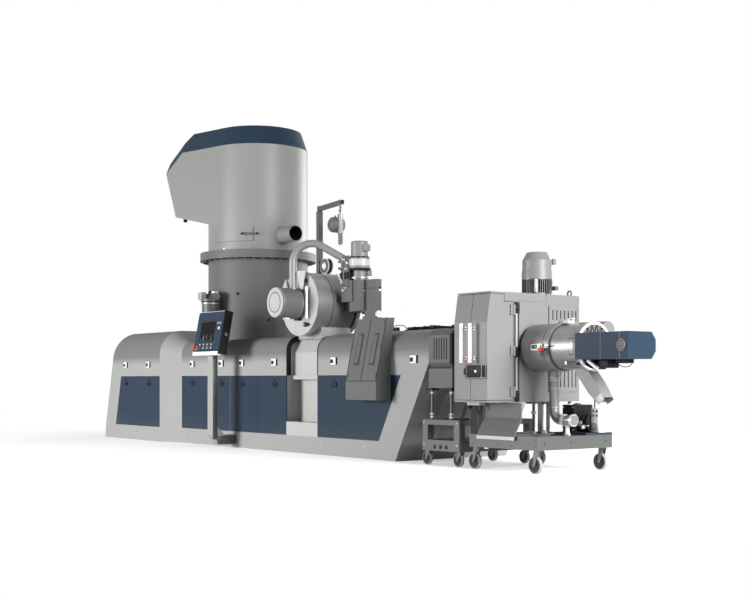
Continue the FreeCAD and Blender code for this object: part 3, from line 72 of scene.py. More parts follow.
# The seat itself, as a place on it.
HERE = (0, 0, 0)
FINE_GRAIN = 0.00012
MERGE_DISTANCE = 0.00001
SHARP_ANGLE = math.radians(32.0)
LEAD_RADIUS = 0.004
# Between a fitting and the surface that it lies on.
GAP = 0.0003


class Wire:
    """One output in a shader tree, with the arithmetic that masks need."""

    def __init__(self, tree, socket):
        self.tree, self.socket = tree, socket

    def maths(self, operation, first, second=0.0):
        return self.tree.add("Math", {0: first, 1: second}, operation=operation)

    def __add__(self, other):
        return self.maths("ADD", self, other)

    def __rsub__(self, other):
        return self.maths("SUBTRACT", other, self)

    def __mul__(self, other):
        return self.maths("MULTIPLY", self, other)

    __radd__ = __add__
    __rmul__ = __mul__

    def fraction(self):
        return self.maths("FRACT", self)

    def over(self, limit):
        return self.maths("GREATER_THAN", self, limit)

    def clamped(self):
        return self.tree.add("Clamp", {"Value": self})

    def ramp(self, low, high, first=0.0, last=1.0):
        """From first to last while the value goes from low to high, and level beyond them."""
        return self.tree.add("MapRange", {"Value": self, "From Min": low, "From Max": high, "To Min": first,
                                          "To Max": last}, clamp=True)


class Tree:
    """The shader nodes of a material or of the world."""

    def __init__(self, owner):
        owner.use_nodes = True
        self.owner = owner
        self.nodes, self.links = owner.node_tree.nodes, owner.node_tree.links
        self.nodes.clear()

    def add(self, kind, sockets, output=0, **settings):
        item = self.nodes.new("ShaderNode" + kind)
        for name, value in settings.items():
            setattr(item, name, value)
        for name, value in sockets.items():
            if isinstance(value, Wire):
                self.links.new(value.socket, item.inputs[name])
            else:
                item.inputs[name].default_value = value
        return Wire(self, item.outputs[output]) if item.outputs else None

    def place(self):
        return self.add("TexCoord", {}, "Object")

    def axis(self, index):
        """The distance along one axis of the object."""
        return self.add("SeparateXYZ", {0: self.place()}, index)

    def noise(self, scale, detail=2.0, roughness=0.5, grain=None):
        """Cloudy noise, finer along an axis by its number in grain."""
        vector = self.place()
        if grain:
            vector = self.add("Mapping", {"Vector": vector, "Scale": grain})
        return self.add("TexNoise", {"Vector": vector, "Scale": scale, "Detail": detail,
                                     "Roughness": roughness})

    def blend(self, share, first, second):
        return self.add("Mix", {0: share, 6: first, 7: second}, 2, data_type="RGBA")

    def seen(self):
        """One for the eye, for reflections and for what shows through glass; zero for all other rays."""
        camera, glossy, passing = (self.add("LightPath", {}, "Is %s Ray" % kind)
                                   for kind in ("Camera", "Glossy", "Transmission"))
        return (camera + glossy + passing).clamped()

    def finish(self, bumps, depth, **sockets):
        """The finished material, its grain raised by depth where the bumps are light."""
        sockets = {name.replace("_", " "): value for name, value in sockets.items()}
        if bumps:
            sockets["Normal"] = self.add("Bump", {"Height": bumps, "Distance": depth, "Strength": 1.0})
        shader = self.add("BsdfPrincipled", sockets)
        self.add("OutputMaterial", {"Surface": shader})
        return self.owner


def new_tree(name):
    return Tree(bpy.data.materials.new(name))


def rgba(colour, share=1.0):
    return (colour[0] * share, colour[1] * share, colour[2] * share, 1.0)


def painted(name, colour, roughness, shine=0.4, mottle=0.03, shade_above=None):
    """Powder coat: a slight orange peel, faint clouding and dust that gathers low down.
    Above a given height, painted shade darkens it, standing in for the dim upward curve of the hood tops."""
    tree = new_tree(name)
    cloud = tree.noise(1.7, 4.0, 0.6)
    height = tree.axis(2)
    dust = (1.0 - height.ramp(0.0, 0.5)) * tree.noise(6.0, 5.0, 0.7) * 0.16
    base = tree.blend(cloud, rgba(colour, 1.0 - mottle), rgba(colour, 1.0 + mottle))
    # Painted shade: the colour darkens above the given height, for the dim tops of the hoods.
    if shade_above:
        base = tree.blend(height.ramp(shade_above, shade_above + 0.13) * 0.85, base, rgba(colour, 0.42))
    grey = 0.25 + 0.3 * colour[1]
    worn = tree.blend(dust.clamped(), base, (grey, grey * 0.98, grey * 0.94, 1.0))
    rough = cloud * 0.1 + (roughness - 0.05) + dust * 0.5
    return tree.finish(tree.noise(420.0), FINE_GRAIN, Base_Color=worn, Roughness=rough,
                       Specular_IOR_Level=shine)


def brushed(name, colour, roughness, grain=(1, 1, 60), metal=0.55):
    """Stainless steel with a fine directional grain and faint heat and handling marks."""
    tree = new_tree(name)
    lines = tree.noise(26.0, 5.0, 0.7, grain)
    cloud = tree.noise(2.6, 4.0, 0.6)
    tone = tree.blend(lines, rgba(colour, 0.86), rgba(colour, 1.12))
    marked = tree.blend(cloud.ramp(0.45, 0.8) * 0.35, tone, rgba(colour, 0.72))
    rough = lines * 0.14 + cloud * 0.12 + (roughness - 0.13)
    return tree.finish(lines, FINE_GRAIN, Base_Color=marked, Roughness=rough, Metallic=metal)


def moulded(name, colour, roughness, grain=900.0, depth=0.0002):
    """Plastic or rubber with a fine spark-eroded grain."""
    tree = new_tree(name)
    speck = tree.noise(grain)
    tone = tree.blend(tree.noise(5.0, 3.0), rgba(colour, 0.88), rgba(colour, 1.12))
    rough = speck * 0.12 + (roughness - 0.06)
    return tree.finish(speck, depth, Base_Color=tone, Roughness=rough, Specular_IOR_Level=0.12)


def display(name):
    """A dark glass screen with a faint plant picture: level bars over a grid of thin lines."""
    tree = new_tree(name)
    up = tree.axis(2)
    column, row = (tree.axis(0) * 22.0).fraction(), (up * 30.0).fraction()
    lines = column.over(0.93) + row.over(0.92)
    bars = tree.noise(1.0, 1.0, grain=(16, 16, 2))
    lit = bars.ramp(0.5, 0.55) * column.ramp(0.3, 0.34) * (1.0 - up.ramp(1.6, 1.66))
    tone = tree.blend(lit.clamped(), (0.004, 0.004, 0.006, 1.0), (0.12, 0.14, 0.12, 1.0))
    drawn = tree.blend((lines * 0.18).clamped(), tone, (0.03, 0.03, 0.035, 1.0))
    return tree.finish(None, 0.0, Base_Color=drawn, Roughness=tree.noise(9.0) * 0.08 + 0.3,
                       Emission_Color=drawn, Emission_Strength=0.5, Specular_IOR_Level=0.03)


def make_finishes(sizes):
    even = (20, 20, 20)
    FINISHES.update({
        "body_grey": painted("Body grey", sizes.body_colour, 0.55, 0.12),
        # Body grey with painted shade on the hood tops above 1.24 m.
        "hood_grey_shaded_top": painted("Hood grey shaded top", sizes.body_colour, 0.55, 0.12, shade_above=1.24),
        "panel_blue": painted("Panel navy", sizes.panel_colour, 0.5, 0.12, 0.06),
        "head_grey": painted("Head grey", sizes.head_colour, 0.42, 0.25),
        "cabinet_grey": painted("Cabinet grey", sizes.cabinet_colour, 0.42, 0.25),
        # Partly the drum's own darker paint, partly painted shade for the shadow under its flange; the
        # guard, chutes and melt housing share it.
        "drum_grey": painted("Drum grey", sizes.drum_colour, 0.5, 0.15),
        "frame_grey": painted("Frame grey", sizes.frame_colour, 0.45, mottle=0.05),
        "light_grey": painted("Light grey", sizes.light_colour, 0.4),
        "fork_grey": painted("Fork paint", (0.085, 0.085, 0.083), 0.42),
        "motor_grey": painted("Motor paint", (0.16, 0.162, 0.156), 0.45),
        "stainless": brushed("Brushed stainless", sizes.steel_colour, 0.36),
        "turned_steel": brushed("Turned stainless", sizes.steel_colour, 0.34, (60, 60, 1)),
        "bright": brushed("Bright steel", (0.72, 0.72, 0.71), 0.24, even),
        "dark": brushed("Blackened steel", (0.07, 0.07, 0.072), 0.42, even),
        "zinc": brushed("Zinc plate", (0.42, 0.42, 0.41), 0.42, (6, 6, 6), 0.6),
        "hose_braid": brushed("Hose sleeve", (0.19, 0.19, 0.187), 0.5, (40, 40, 40), 0.35),
        "black": moulded("Black plastic", (0.010, 0.010, 0.011), 0.5),
        "rubber": moulded("Black rubber", (0.012, 0.012, 0.013), 0.68, 500.0),
        "white": moulded("White enamel", (0.85, 0.85, 0.85), 0.32, 300.0, 0.0001),
        "caster_grey": moulded("Grey rubber", (0.30, 0.30, 0.295), 0.6),
        "hub_grey": moulded("Hub plastic", (0.028, 0.028, 0.03), 0.5),
        "red": moulded("Signal red", (0.55, 0.012, 0.01), 0.35, 400.0, 0.0001),
        "yellow": moulded("Signal yellow", (0.8, 0.45, 0.02), 0.4, 400.0, 0.0001),
        "green": moulded("Lens green", (0.02, 0.09, 0.06), 0.25, 400.0, 0.0001),
        "screen": display("Screen"),
    })


def facing(axis):
    """The turn that brings the local Z axis onto another."""
    return Vector(axis).to_track_quat("Z", "Y").to_matrix().to_4x4()


def outward(angle):
    """The level direction at so many degrees from the X axis."""
    turn = math.radians(angle)
    return Vector((math.cos(turn), math.sin(turn), 0.0))


def smooth(points, steps=6):
    """Points on a curve through the given ones."""
    points = [Vector(point) for point in points]
    line = []
    for index in range(len(points) - 1):
        before, after = points[max(index - 1, 0)], points[min(index + 2, len(points) - 1)]
        start, end = points[index], points[index + 1]
        leaving, arriving = start + (end - before) / 6, end - (after - start) / 6
        line += interpolate_bezier(start, leaving, arriving, end, steps)[:-1]
    return line + [points[-1]]


def add_object(name, data):
    thing = bpy.data.objects.new(name, data)
    bpy.context.collection.objects.link(thing)
    return thing


class Form:
    """A piece's mesh in the making, in metres in the frame or about a seat in it."""

    def __init__(self, finish, seat=None):
        self.mesh = bmesh.new()
        self.finishes = [finish]
        self.current = 0
        self.seat = seat or Matrix()

    def at(self, x, y, z):
        """What is added next is measured from this point."""
        self.seat = Matrix.Translation((x, y, z))
        return self

    def wear(self, finish):
        """What is added next has this finish."""
        if finish not in self.finishes:
            self.finishes.append(finish)
        self.current = self.finishes.index(finish)
        return self

    def settle(self, old, place=Matrix()):
        """Moves new geometry to its place on the seat and gives it the present finish."""
        fresh = [v for v in self.mesh.verts if v not in old]
        bmesh.ops.transform(self.mesh, matrix=self.seat @ place, verts=fresh)
        for face in self.mesh.faces:
            if all(v not in old for v in face.verts):
                face.material_index = self.current
        return self

    def block(self, low, high, edge=0.0):
        """A box between two corners, its edges rounded."""
        old = set(self.mesh.verts)
        low, high = Vector(low), Vector(high)
        place = Matrix.Translation((low + high) / 2) @ Matrix.Diagonal((*(high - low), 1.0))
        made = bmesh.ops.create_cube(self.mesh, size=1.0, matrix=place)
        if edge:
            edges = list({e for v in made["verts"] for e in v.link_edges})
            bmesh.ops.bevel(self.mesh, geom=edges, offset=edge, offset_type="OFFSET", segments=2,
                            profile=0.5, affect="EDGES", material=-1)
        return self.settle(old)

    def peg(self, foot, reach, radius, tip=None, sides=24):
        """A round or tapered pin that stands on foot and is as long as reach."""
        old = set(self.mesh.verts)
        reach = Vector(reach)
        bmesh.ops.create_cone(self.mesh, cap_ends=True, segments=sides, radius1=radius,
                              radius2=radius if tip is None else tip, depth=reach.length)
        return self.settle(old, Matrix.Translation(Vector(foot) + reach / 2) @ facing(reach))

    def nut(self, foot, reach, radius):
        """A hexagon head or nut."""
        return self.peg(foot, reach, radius, sides=6)

    def studs(self, columns, rows, levels, reach, radius, sides=6):
        """Hexagon heads, or pins of more sides, wherever the places along X, Y and Z cross."""
        for foot in ((x, y, z) for x in columns for y in rows for z in levels):
            self.peg(foot, reach, radius, sides=sides)
        return self

    def turned(self, centre, axis, outline, sides=48):
        """A full turn of a closed (radius, height) outline about an axis."""
        old = set(self.mesh.verts)
        rim = [self.mesh.verts.new((radius, 0.0, height)) for radius, height in outline]
        edges = [self.mesh.edges.new((rim[i - 1], rim[i])) for i in range(len(rim))]
        bmesh.ops.spin(self.mesh, geom=rim + edges, cent=HERE, axis=Z, dvec=HERE, angle=math.tau,
                       steps=sides, use_merge=True, use_duplicate=False)
        return self.settle(old, Matrix.Translation(centre) @ facing(axis))

    def ring(self, centre, axis, inner, outer, thick, sides=48):
        """A flat ring whose far face is thick away from centre along the axis."""
        return self.turned(centre, axis, [(inner, 0.0), (outer, 0.0), (outer, thick), (inner, thick)], sides)

    def tube(self, points, radius, sides=10, closed=False):
        """A round wire through points, its rings bridged one to the next."""
        old = set(self.mesh.verts)
        points = [Vector(point) for point in points]
        rings = []
        count = len(points)
        for index, point in enumerate(points):
            if closed:
                along = points[(index + 1) % count] - points[index - 1]
            else:
                along = points[min(index + 1, count - 1)] - points[max(index - 1, 0)]
            made = bmesh.ops.create_circle(self.mesh, cap_ends=not closed and index in (0, count - 1),
                                           segments=sides, radius=radius,
                                           matrix=Matrix.Translation(point) @ facing(along))
            rings.append([e for e in {e for v in made["verts"] for e in v.link_edges}
                          if all(v in made["verts"] for v in e.verts)])
        pairs = list(zip(rings, rings[1:])) + ([(rings[-1], rings[0])] if closed else [])
        for first, second in pairs:
            bmesh.ops.bridge_loops(self.mesh, edges=first + second)
        return self.settle(old)

    def wrap(self, inner, outer, from_angle, to_angle, low, high, steps=12):
        """A plate bent round the seat's Z axis, angles in degrees."""
        old = set(self.mesh.verts)
        made = bmesh.ops.create_grid(self.mesh, x_segments=steps, y_segments=1, size=0.5)
        for vert in made["verts"]:
            angle = from_angle + (to_angle - from_angle) * (vert.co.x + 0.5)
            vert.co = outward(angle) * outer + Z * (low + (high - low) * (vert.co.y + 0.5))
        faces = list({f for v in made["verts"] for f in v.link_faces})
        sheet = bmesh.ops.extrude_face_region(self.mesh, geom=faces)
        for vert in (item for item in sheet["geom"] if isinstance(item, bmesh.types.BMVert)):
            vert.co.xy *= inner / outer
        return self.settle(old)

    def section(self, outline, start, end):
        """A plate with a (y, z) outline, from start to end along X."""
        old = set(self.mesh.verts)
        face = self.mesh.faces.new([self.mesh.verts.new((start, y, z)) for y, z in outline])
        made = bmesh.ops.extrude_face_region(self.mesh, geom=[face], use_keep_orig=True)
        bmesh.ops.translate(self.mesh, vec=X * (end - start),
                            verts=[item for item in made["geom"] if isinstance(item, bmesh.types.BMVert)])
        return self.settle(old)

    def blades(self, inner, outer, thick, low, high, count):
        """Upright fins standing out round the seat."""
        seat = self.seat
        for index in range(count):
            self.seat = seat @ Matrix.Rotation(math.tau * index / count, 4, "Z")
            self.block((inner, -thick / 2, low), (outer, thick / 2, high))
        self.seat = seat
        return self

    def bolts(self, centre, axis, radius, count, size, high):
        """A ring of hexagon heads on a circle."""
        for index in range(count):
            foot = Vector(centre) + facing(axis).to_3x3() @ outward(360.0 * index / count) * radius
            self.nut(foot, axis * high, size)
        return self

    def done(self, name, body="machine"):
        """Closes the mesh, and makes it a piece that rides on a body."""
        bmesh.ops.remove_doubles(self.mesh, verts=self.mesh.verts, dist=MERGE_DISTANCE)
        bmesh.ops.recalc_face_normals(self.mesh, faces=self.mesh.faces)
        mesh = bpy.data.meshes.new(name)
        self.mesh.to_mesh(mesh)
        self.mesh.free()
        for polygon in mesh.polygons:
            polygon.use_smooth = True
        mesh.set_sharp_from_angle(angle=SHARP_ANGLE)
        for finish in self.finishes:
            mesh.materials.append(FINISHES[finish])
        piece = add_object(name, mesh)
        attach(piece, body)
        return piece


def make_latches():
    """Quarter-turn latches along the near side of the hoods, and locks on the panels below them."""
    places = {"left_hood": (-2.485, -1.65), "mid_hood": (-0.443, 0.455, 1.048, 1.928),
              "right_hood": (3.367, 5.017)}
    last_lock = 5.0
    latches, locks = Form("white"), Form("black")
    for hood, row in places.items():
        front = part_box(hood)[0][1]
        for x in row:
            latches.at(x, front, 1.241)
            latches.wear("white").block((-0.07, -0.01, -0.047), (0.052, -0.0005, 0.047), 0.003)
            latches.wear("black").block((-0.062, -0.016, -0.03), (-0.008, -0.01, 0.022), 0.003)
            latches.block((0.054, -0.018, -0.047), (0.07, -0.0005, 0.047), 0.003)
            latches.wear("bright").block((-0.004, -0.012, -0.034), (0.004, -0.01, 0.034))
            if x < last_lock:
                locks.at(x, front, 0.93).block((-0.06, -0.014, -0.032), (0.06, -0.0005, 0.032), 0.006)
                locks.peg((0, 0, 0.066), Y * -0.008, 0.018, 0.015)
    latches.done("hood_latches")
    locks.done("panel_locks")


def hood_outline(front, spring, radius, sweep):
    """The near side of a hood's end, from the deck over the shoulder, as (y, z)."""
    points = [(front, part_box("mid_hood")[0][2]), (front, spring)]
    steps = 10
    for index in range(1, steps + 1):
        angle = math.radians(180.0 - sweep * index / steps)
        points.append((front + radius + radius * math.cos(angle), spring + radius * math.sin(angle)))
    return points


def make_seals():
    """Black rubber along the ends of the hoods beside the open bay, and in the seams of the panels."""
    (_, front, _), (right, _, top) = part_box("mid_hood")
    seals = Form("rubber")
    outer = hood_outline(front, top - 0.2, 0.2, 90.0) + [(-0.3, top)]
    inner = hood_outline(front + 0.075, top - 0.2, 0.125, 90.0) + [(-0.3, top - 0.075)]
    for one, two, three, four in zip(outer, outer[1:], inner[1:], inner):
        seals.section([one, two, three, four], right + 0.0005, right + 0.0045)
    left, front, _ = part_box("right_hood")[0]
    line = hood_outline(front, 1.372, 0.204, 74.0)
    seals.tube([(left + 0.008, y - 0.002, z + 0.002) for y, z in line], 0.007, 8)
    for x in (0.719, 1.48):
        seals.at(x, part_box("lower_panels")[0][1] + 0.149, 0.262)
        seals.block((-0.0025, 0, 0), (0.0025, 0.0004, 0.778))
    seals.done("hood_seals")


def make_drum_fittings():
    """Painted shade on the flange's underside, and the flange's bolts, the hatch's latch and seams, the
    plugs in the drum's wall, a thin black sleeve of painted shade in the exhaust's bore, and the sensor
    under the feed duct."""
    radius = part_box("head_shell")[1][0]
    # Painted shade: a thin black ring on the flange's underside darkens it.
    flange = Form("rubber").at(0, 0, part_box("drum_shell")[1][2])
    flange.ring(Z * -0.125, -Z, radius + 0.001, 0.902, 0.004, 96)
    flange.wear("fork_grey").bolts(Z * -0.129, -Z, 0.862, 40, 0.017, 0.014)
    flange.wear("body_grey").bolts(HERE, Z, 0.862, 40, 0.014, 0.006)
    flange.done("flange_bolts")
    hatch = Form("rubber")
    for start, end, top, proud, steps in ((-86.1, -37.0, 3.0955, 0.003, 20), (-37.35, -36.95, 3.3, 0.003, 2),
                                          (-86.1, -85.85, 3.3, 0.002, 2)):
        hatch.wrap(radius + GAP, radius + proud, start, end, 3.0915, top, steps)
    hatch.wear("fork_grey").wrap(radius + 0.008, radius + 0.018, -52.0, -30.0, 3.196, 3.216, 8)
    hatch.wrap(radius + 0.008, radius + 0.03, -46.0, -38.5, 3.176, 3.224, 6)
    hatch.wear("black")
    for angle in (-49.0, -33.0):
        hatch.peg(outward(angle) * (radius + 0.006) + Z * 3.206, outward(angle) * 0.03, 0.018, 0.014)
    hatch.wear("zinc").peg((radius * 0.6, -radius * 0.8, 3.24), Z * 0.06, 0.006)
    hatch.done("hatch_fittings")
    plugs = Form("black")
    for finish, angle, z, size in (("black", -55.0, 2.3, 0.022), ("white", -73.0, 2.985, 0.018),
                                   ("black", -20.0, 1.9, 0.02)):
        plugs.wear(finish).peg(outward(angle) * radius + Z * z, outward(angle) * 0.014, size, size * 0.8)
    plugs.done("drum_plugs")
    duct_low, duct_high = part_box("exhaust_port")
    # Painted shade: a thin black sleeve inside the exhaust's bore makes it as dark as its depth.
    bore = Form("rubber").at(0, (duct_low[1] + duct_high[1]) / 2, (duct_low[2] + duct_high[2]) / 2)
    bore.ring(X * (radius + 0.002), X, 0.108, 0.1099, duct_high[0] - radius - 0.003)
    bore.done("exhaust_bore_shade")
    Form("black").block((-0.88, -0.85, 3.5), (-0.835, -0.8, 3.562), 0.004).done("duct_sensor")


def make_unit_fittings():
    """Filter box, black valve block, small motor and bands of the drive unit beside the drum."""
    unit = Form("light_grey")
    unit.block((-0.015, -1.066, 2.205), (0.08, -0.985, 2.325), 0.006)
    unit.wear("fork_grey")
    for y in (-1.055, -1.04, -1.025, -1.01):
        unit.block((0.08, y - 0.003, 2.215), (0.0815, y + 0.003, 2.315))
    for x in (0.005, 0.03, 0.055):
        unit.block((x - 0.003, -1.0675, 2.215), (x + 0.003, -1.066, 2.315))
    unit.wear("black").block((0.07, -0.985, 2.18), (0.175, -0.87, 2.3), 0.006)
    unit.block((0.075, -0.94, 2.3), (0.125, -0.895, 2.345), 0.005)
    unit.wear("stainless").block((0.082, -0.992, 2.17), (0.096, -0.985, 2.335), 0.002)
    unit.wear("bright").peg((0.16, -0.905, 2.3), Z * 0.038, 0.014)
    unit.peg((0.13, -0.905, 2.322), (0.11, 0.045, 0), 0.01)
    unit.wear("motor_grey").peg((0.165, -0.85, 2.262), (0.087, -0.054, 0), 0.06)
    unit.peg((0.252, -0.904, 2.262), (0.016, -0.01, 0), 0.06, 0.05)
    unit.wear("fork_grey").peg((0.268, -0.914, 2.262), (0.004, -0.0025, 0), 0.036, 0.032)
    unit.wear("black").ring((0.13, -0.919, 2.168), Z, 0.02, 0.146, 0.014)
    unit.wear("hose_braid").tube(smooth([
        (0.085, -0.98, 2.245), (0.1, -1.03, 2.22), (0.135, -1.04, 2.12), (0.175, -1.045, 1.98),
        (0.18, -1.048, 1.76)]), 0.009)
    unit.done("side_unit_fittings")
    bands = Form("turned_steel").at(0.13, -0.919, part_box("drum_side_unit")[0][2])
    for z in (0.06, 0.3, 0.5):
        bands.ring(Z * z, Z, 0.1402, 0.1445, 0.018)
    bands.done("side_unit_bands")


def make_panel_face(sizes):
    """The operator panel's screen, keys, stop button, rest and black side, on its leaning face."""
    low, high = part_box("operator_panel")
    width, height, deep = high[0] - low[0], 0.58, 0.13
    up = Vector((0, math.sin(sizes.panel_lean), math.cos(sizes.panel_lean)))
    out = Vector((0, -up.z, up.y))
    foot = Matrix.Translation((low[0], low[1], high[2] - height * up.z))
    seat = foot @ Matrix((X, up, out)).transposed().to_4x4()
    surface = Z * GAP
    face = Form("black", seat)
    face.block((0.128, 0.138, GAP), (0.537, 0.44, 0.006), 0.004)
    face.wear("screen").block((0.142, 0.152, 0.006), (0.523, 0.426, 0.0075))
    face.wear("bright").block((0, height - 0.001, 0.01 - deep), (width, height + 0.006, 0.002), 0.002)
    face.wear("white").block((0, -0.06, -0.05), (width - 0.015, -0.006, 0.004), 0.006)
    for column in (0.178, 0.285, 0.398, 0.51):
        for row, finish in ((0.097, "light_grey"), (0.047, "green" if column < 0.2 else "zinc")):
            key = Vector((column, row, 0)) + surface
            face.wear("bright").ring(key, Z, 0.0118, 0.016, 0.004, 24)
            face.wear(finish).peg(key, Z * 0.0097, 0.0115, 0.01)
    for x in (0.606, 0.668):
        lamp = Vector((x, 0.409, 0)) + surface
        face.wear("bright").ring(lamp, Z, 0.01, 0.014, 0.004, 24)
        face.wear("white").peg(lamp, Z * 0.0067, 0.0098, 0.007)
    dial = Vector((0.657, 0.333, 0)) + surface
    face.wear("bright").ring(dial, Z, 0.018, 0.026, 0.006, 32)
    face.wear("white").peg(dial, Z * 0.0117, 0.0178, 0.015)
    face.done("panel_face")
    stop = Form("yellow", seat)
    button = Vector((0.088, 0.053, 0))
    stop.peg(button + surface, Z * 0.0217, 0.034, 0.03)
    stop.wear("dark").peg(button + Z * 0.022, Z * 0.012, 0.014)
    stop.wear("red").turned(button + Z * 0.034, Z, [
        (0, 0), (0.027, 0), (0.031, 0.006), (0.029, 0.018), (0.018, 0.026), (0, 0.028)], 32)
    stop.done("emergency_stop")
    side = Form("rubber", seat)
    side.block((width - 0.004, -0.04, -deep - 0.004), (width + 0.012, height + 0.014, 0.006), 0.007)
    lock = (width + 0.012, height * 0.44, -0.07)
    side.wear("bright").ring(lock, X, 0.015, 0.021, 0.004, 24)
    side.wear("black").peg(lock, X * 0.006, 0.014).done("panel_side")
    low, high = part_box("panel_arm")
    cover = Form("dark").at(high[0] - 0.05, 0, 0)
    cover.block((GAP, low[1] + 0.003, 0.13), (0.004, low[1] + 0.077, 1.52), 0.001)
    cover.block((GAP, low[1] + 0.077, 0.058), (0.004, high[1] - 0.014, 0.182), 0.001)
    cover.wear("zinc").at(0, high[1] - 0.012, 0)
    cover.studs((low[0] + 0.022, high[0] - 0.022), (0,), (0.05, 0.19), Y * -0.012, 0.012)
    cover.done("arm_fittings")


def make_filter_fittings():
    """End disc, bright flange face, knobs, handle sleeve, funnels, switches and bands of the melt filter,
    one band a black one of painted shade.
    """
    low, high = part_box("filter_drive")
    x, drive_face, z = (low[0] + high[0]) / 2, low[1], (low[2] + high[2]) / 2
    handle_face, flange_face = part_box("filter_housing")[0][1], -0.956
    bolt_circle = 0.4
    disc = Form("light_grey").at(x, drive_face, z)
    disc.turned(HERE, -Y, [(0, 0), (0.198, 0), (0.198, 0.004), (0.194, 0.007), (0, 0.007)], 64)
    disc.wear("panel_blue").ring(Y * -0.007, -Y, 0.128, 0.138, 0.0012, 64)
    disc.wear("light_grey").turned(Y * -0.007, -Y, [(0, 0), (0.127, 0), (0.127, 0.0008), (0, 0.0008)], 64)
    disc.done("drive_end_disc")
    flange = Form("light_grey").at(x, flange_face, z)
    flange.ring(HERE, -Y, 0.203, 0.4385, 0.003, 96)
    flange.wear("zinc")
    for angle in (15, 75, 105, 135, 165, 195, 255, 285, 345):
        turn = math.radians(angle)
        foot = (bolt_circle * math.cos(turn), -0.003, bolt_circle * math.sin(turn))
        flange.nut(foot, Y * -0.008, 0.012)
    flange.done("filter_flange_face")
    grip = Form("white").at(2.84, handle_face, 2.027)
    grip.block((-0.0138, -0.0012, -0.2165), (0.0138, 0.0252, 0.2165), 0.003).done("filter_handle")
    knobs = Form("black").at(0, flange_face, 0)
    for knob in (2.324, 1.736):
        knobs.wear("black").turned((2.783, -0.003, knob), -Y, [
            (0, 0), (0.02, 0), (0.02, 0.014), (0.032, 0.02), (0.032, 0.04), (0.02, 0.046), (0, 0.046)], 24)
        knobs.wear("bright").peg((2.783, -0.049, knob), Y * -0.003, 0.01)
    knobs.wear("black").peg((2.838, -0.003, 1.736), Y * -0.031, 0.018)
    knobs.block((2.545, -0.052, 1.795), (2.66, -0.003, 1.852), 0.004)
    knobs.block((2.437, -0.04, 1.824), (2.463, -0.003, 1.858), 0.003)
    knobs.wear("white").block((2.32, -0.046, 1.826), (2.428, -0.004, 1.85), 0.004)
    knobs.wear("bright").peg((2.285, -0.003, 1.836), Y * -0.047, 0.016)
    knobs.done("filter_switches")
    funnels = Form("light_grey").at(0, 0, high[2])
    funnels.turned((2.76, -1.03, -0.02), Z, [(0.018, 0), (0.024, 0), (0.062, 0.24), (0.056, 0.24)], 40)
    funnels.turned((2.555, -1.135, -0.014), Z, [(0, 0), (0.062, 0), (0.012, 0.135), (0, 0.135)], 32)
    funnels.done("filter_funnels")
    bands = Form("rubber").at(x, 0, z)
    # Painted shade: the black band just before the back flange stands in for the shade there.
    bands.ring(Y * -0.33, Y, 0.4205, 0.425, 0.03, 96)
    bands.wear("dark").ring(Y * -0.7, Y, 0.4203, 0.4225, 0.012, 96)
    bands.wear("turned_steel").ring(Y * (flange_face + 0.006), Y, 0.4405, 0.4425, 0.02, 96)
    bands.done("filter_bands")
    sleeve = Form("turned_steel").at(x, drive_face, z)
    sleeve.ring(Y * 0.01, Y, 0.2003, 0.204, 0.022, 64)
    sleeve.ring(Y * 0.3, Y, 0.2003, 0.2035, 0.03, 64)
    sleeve.done("drive_bands")


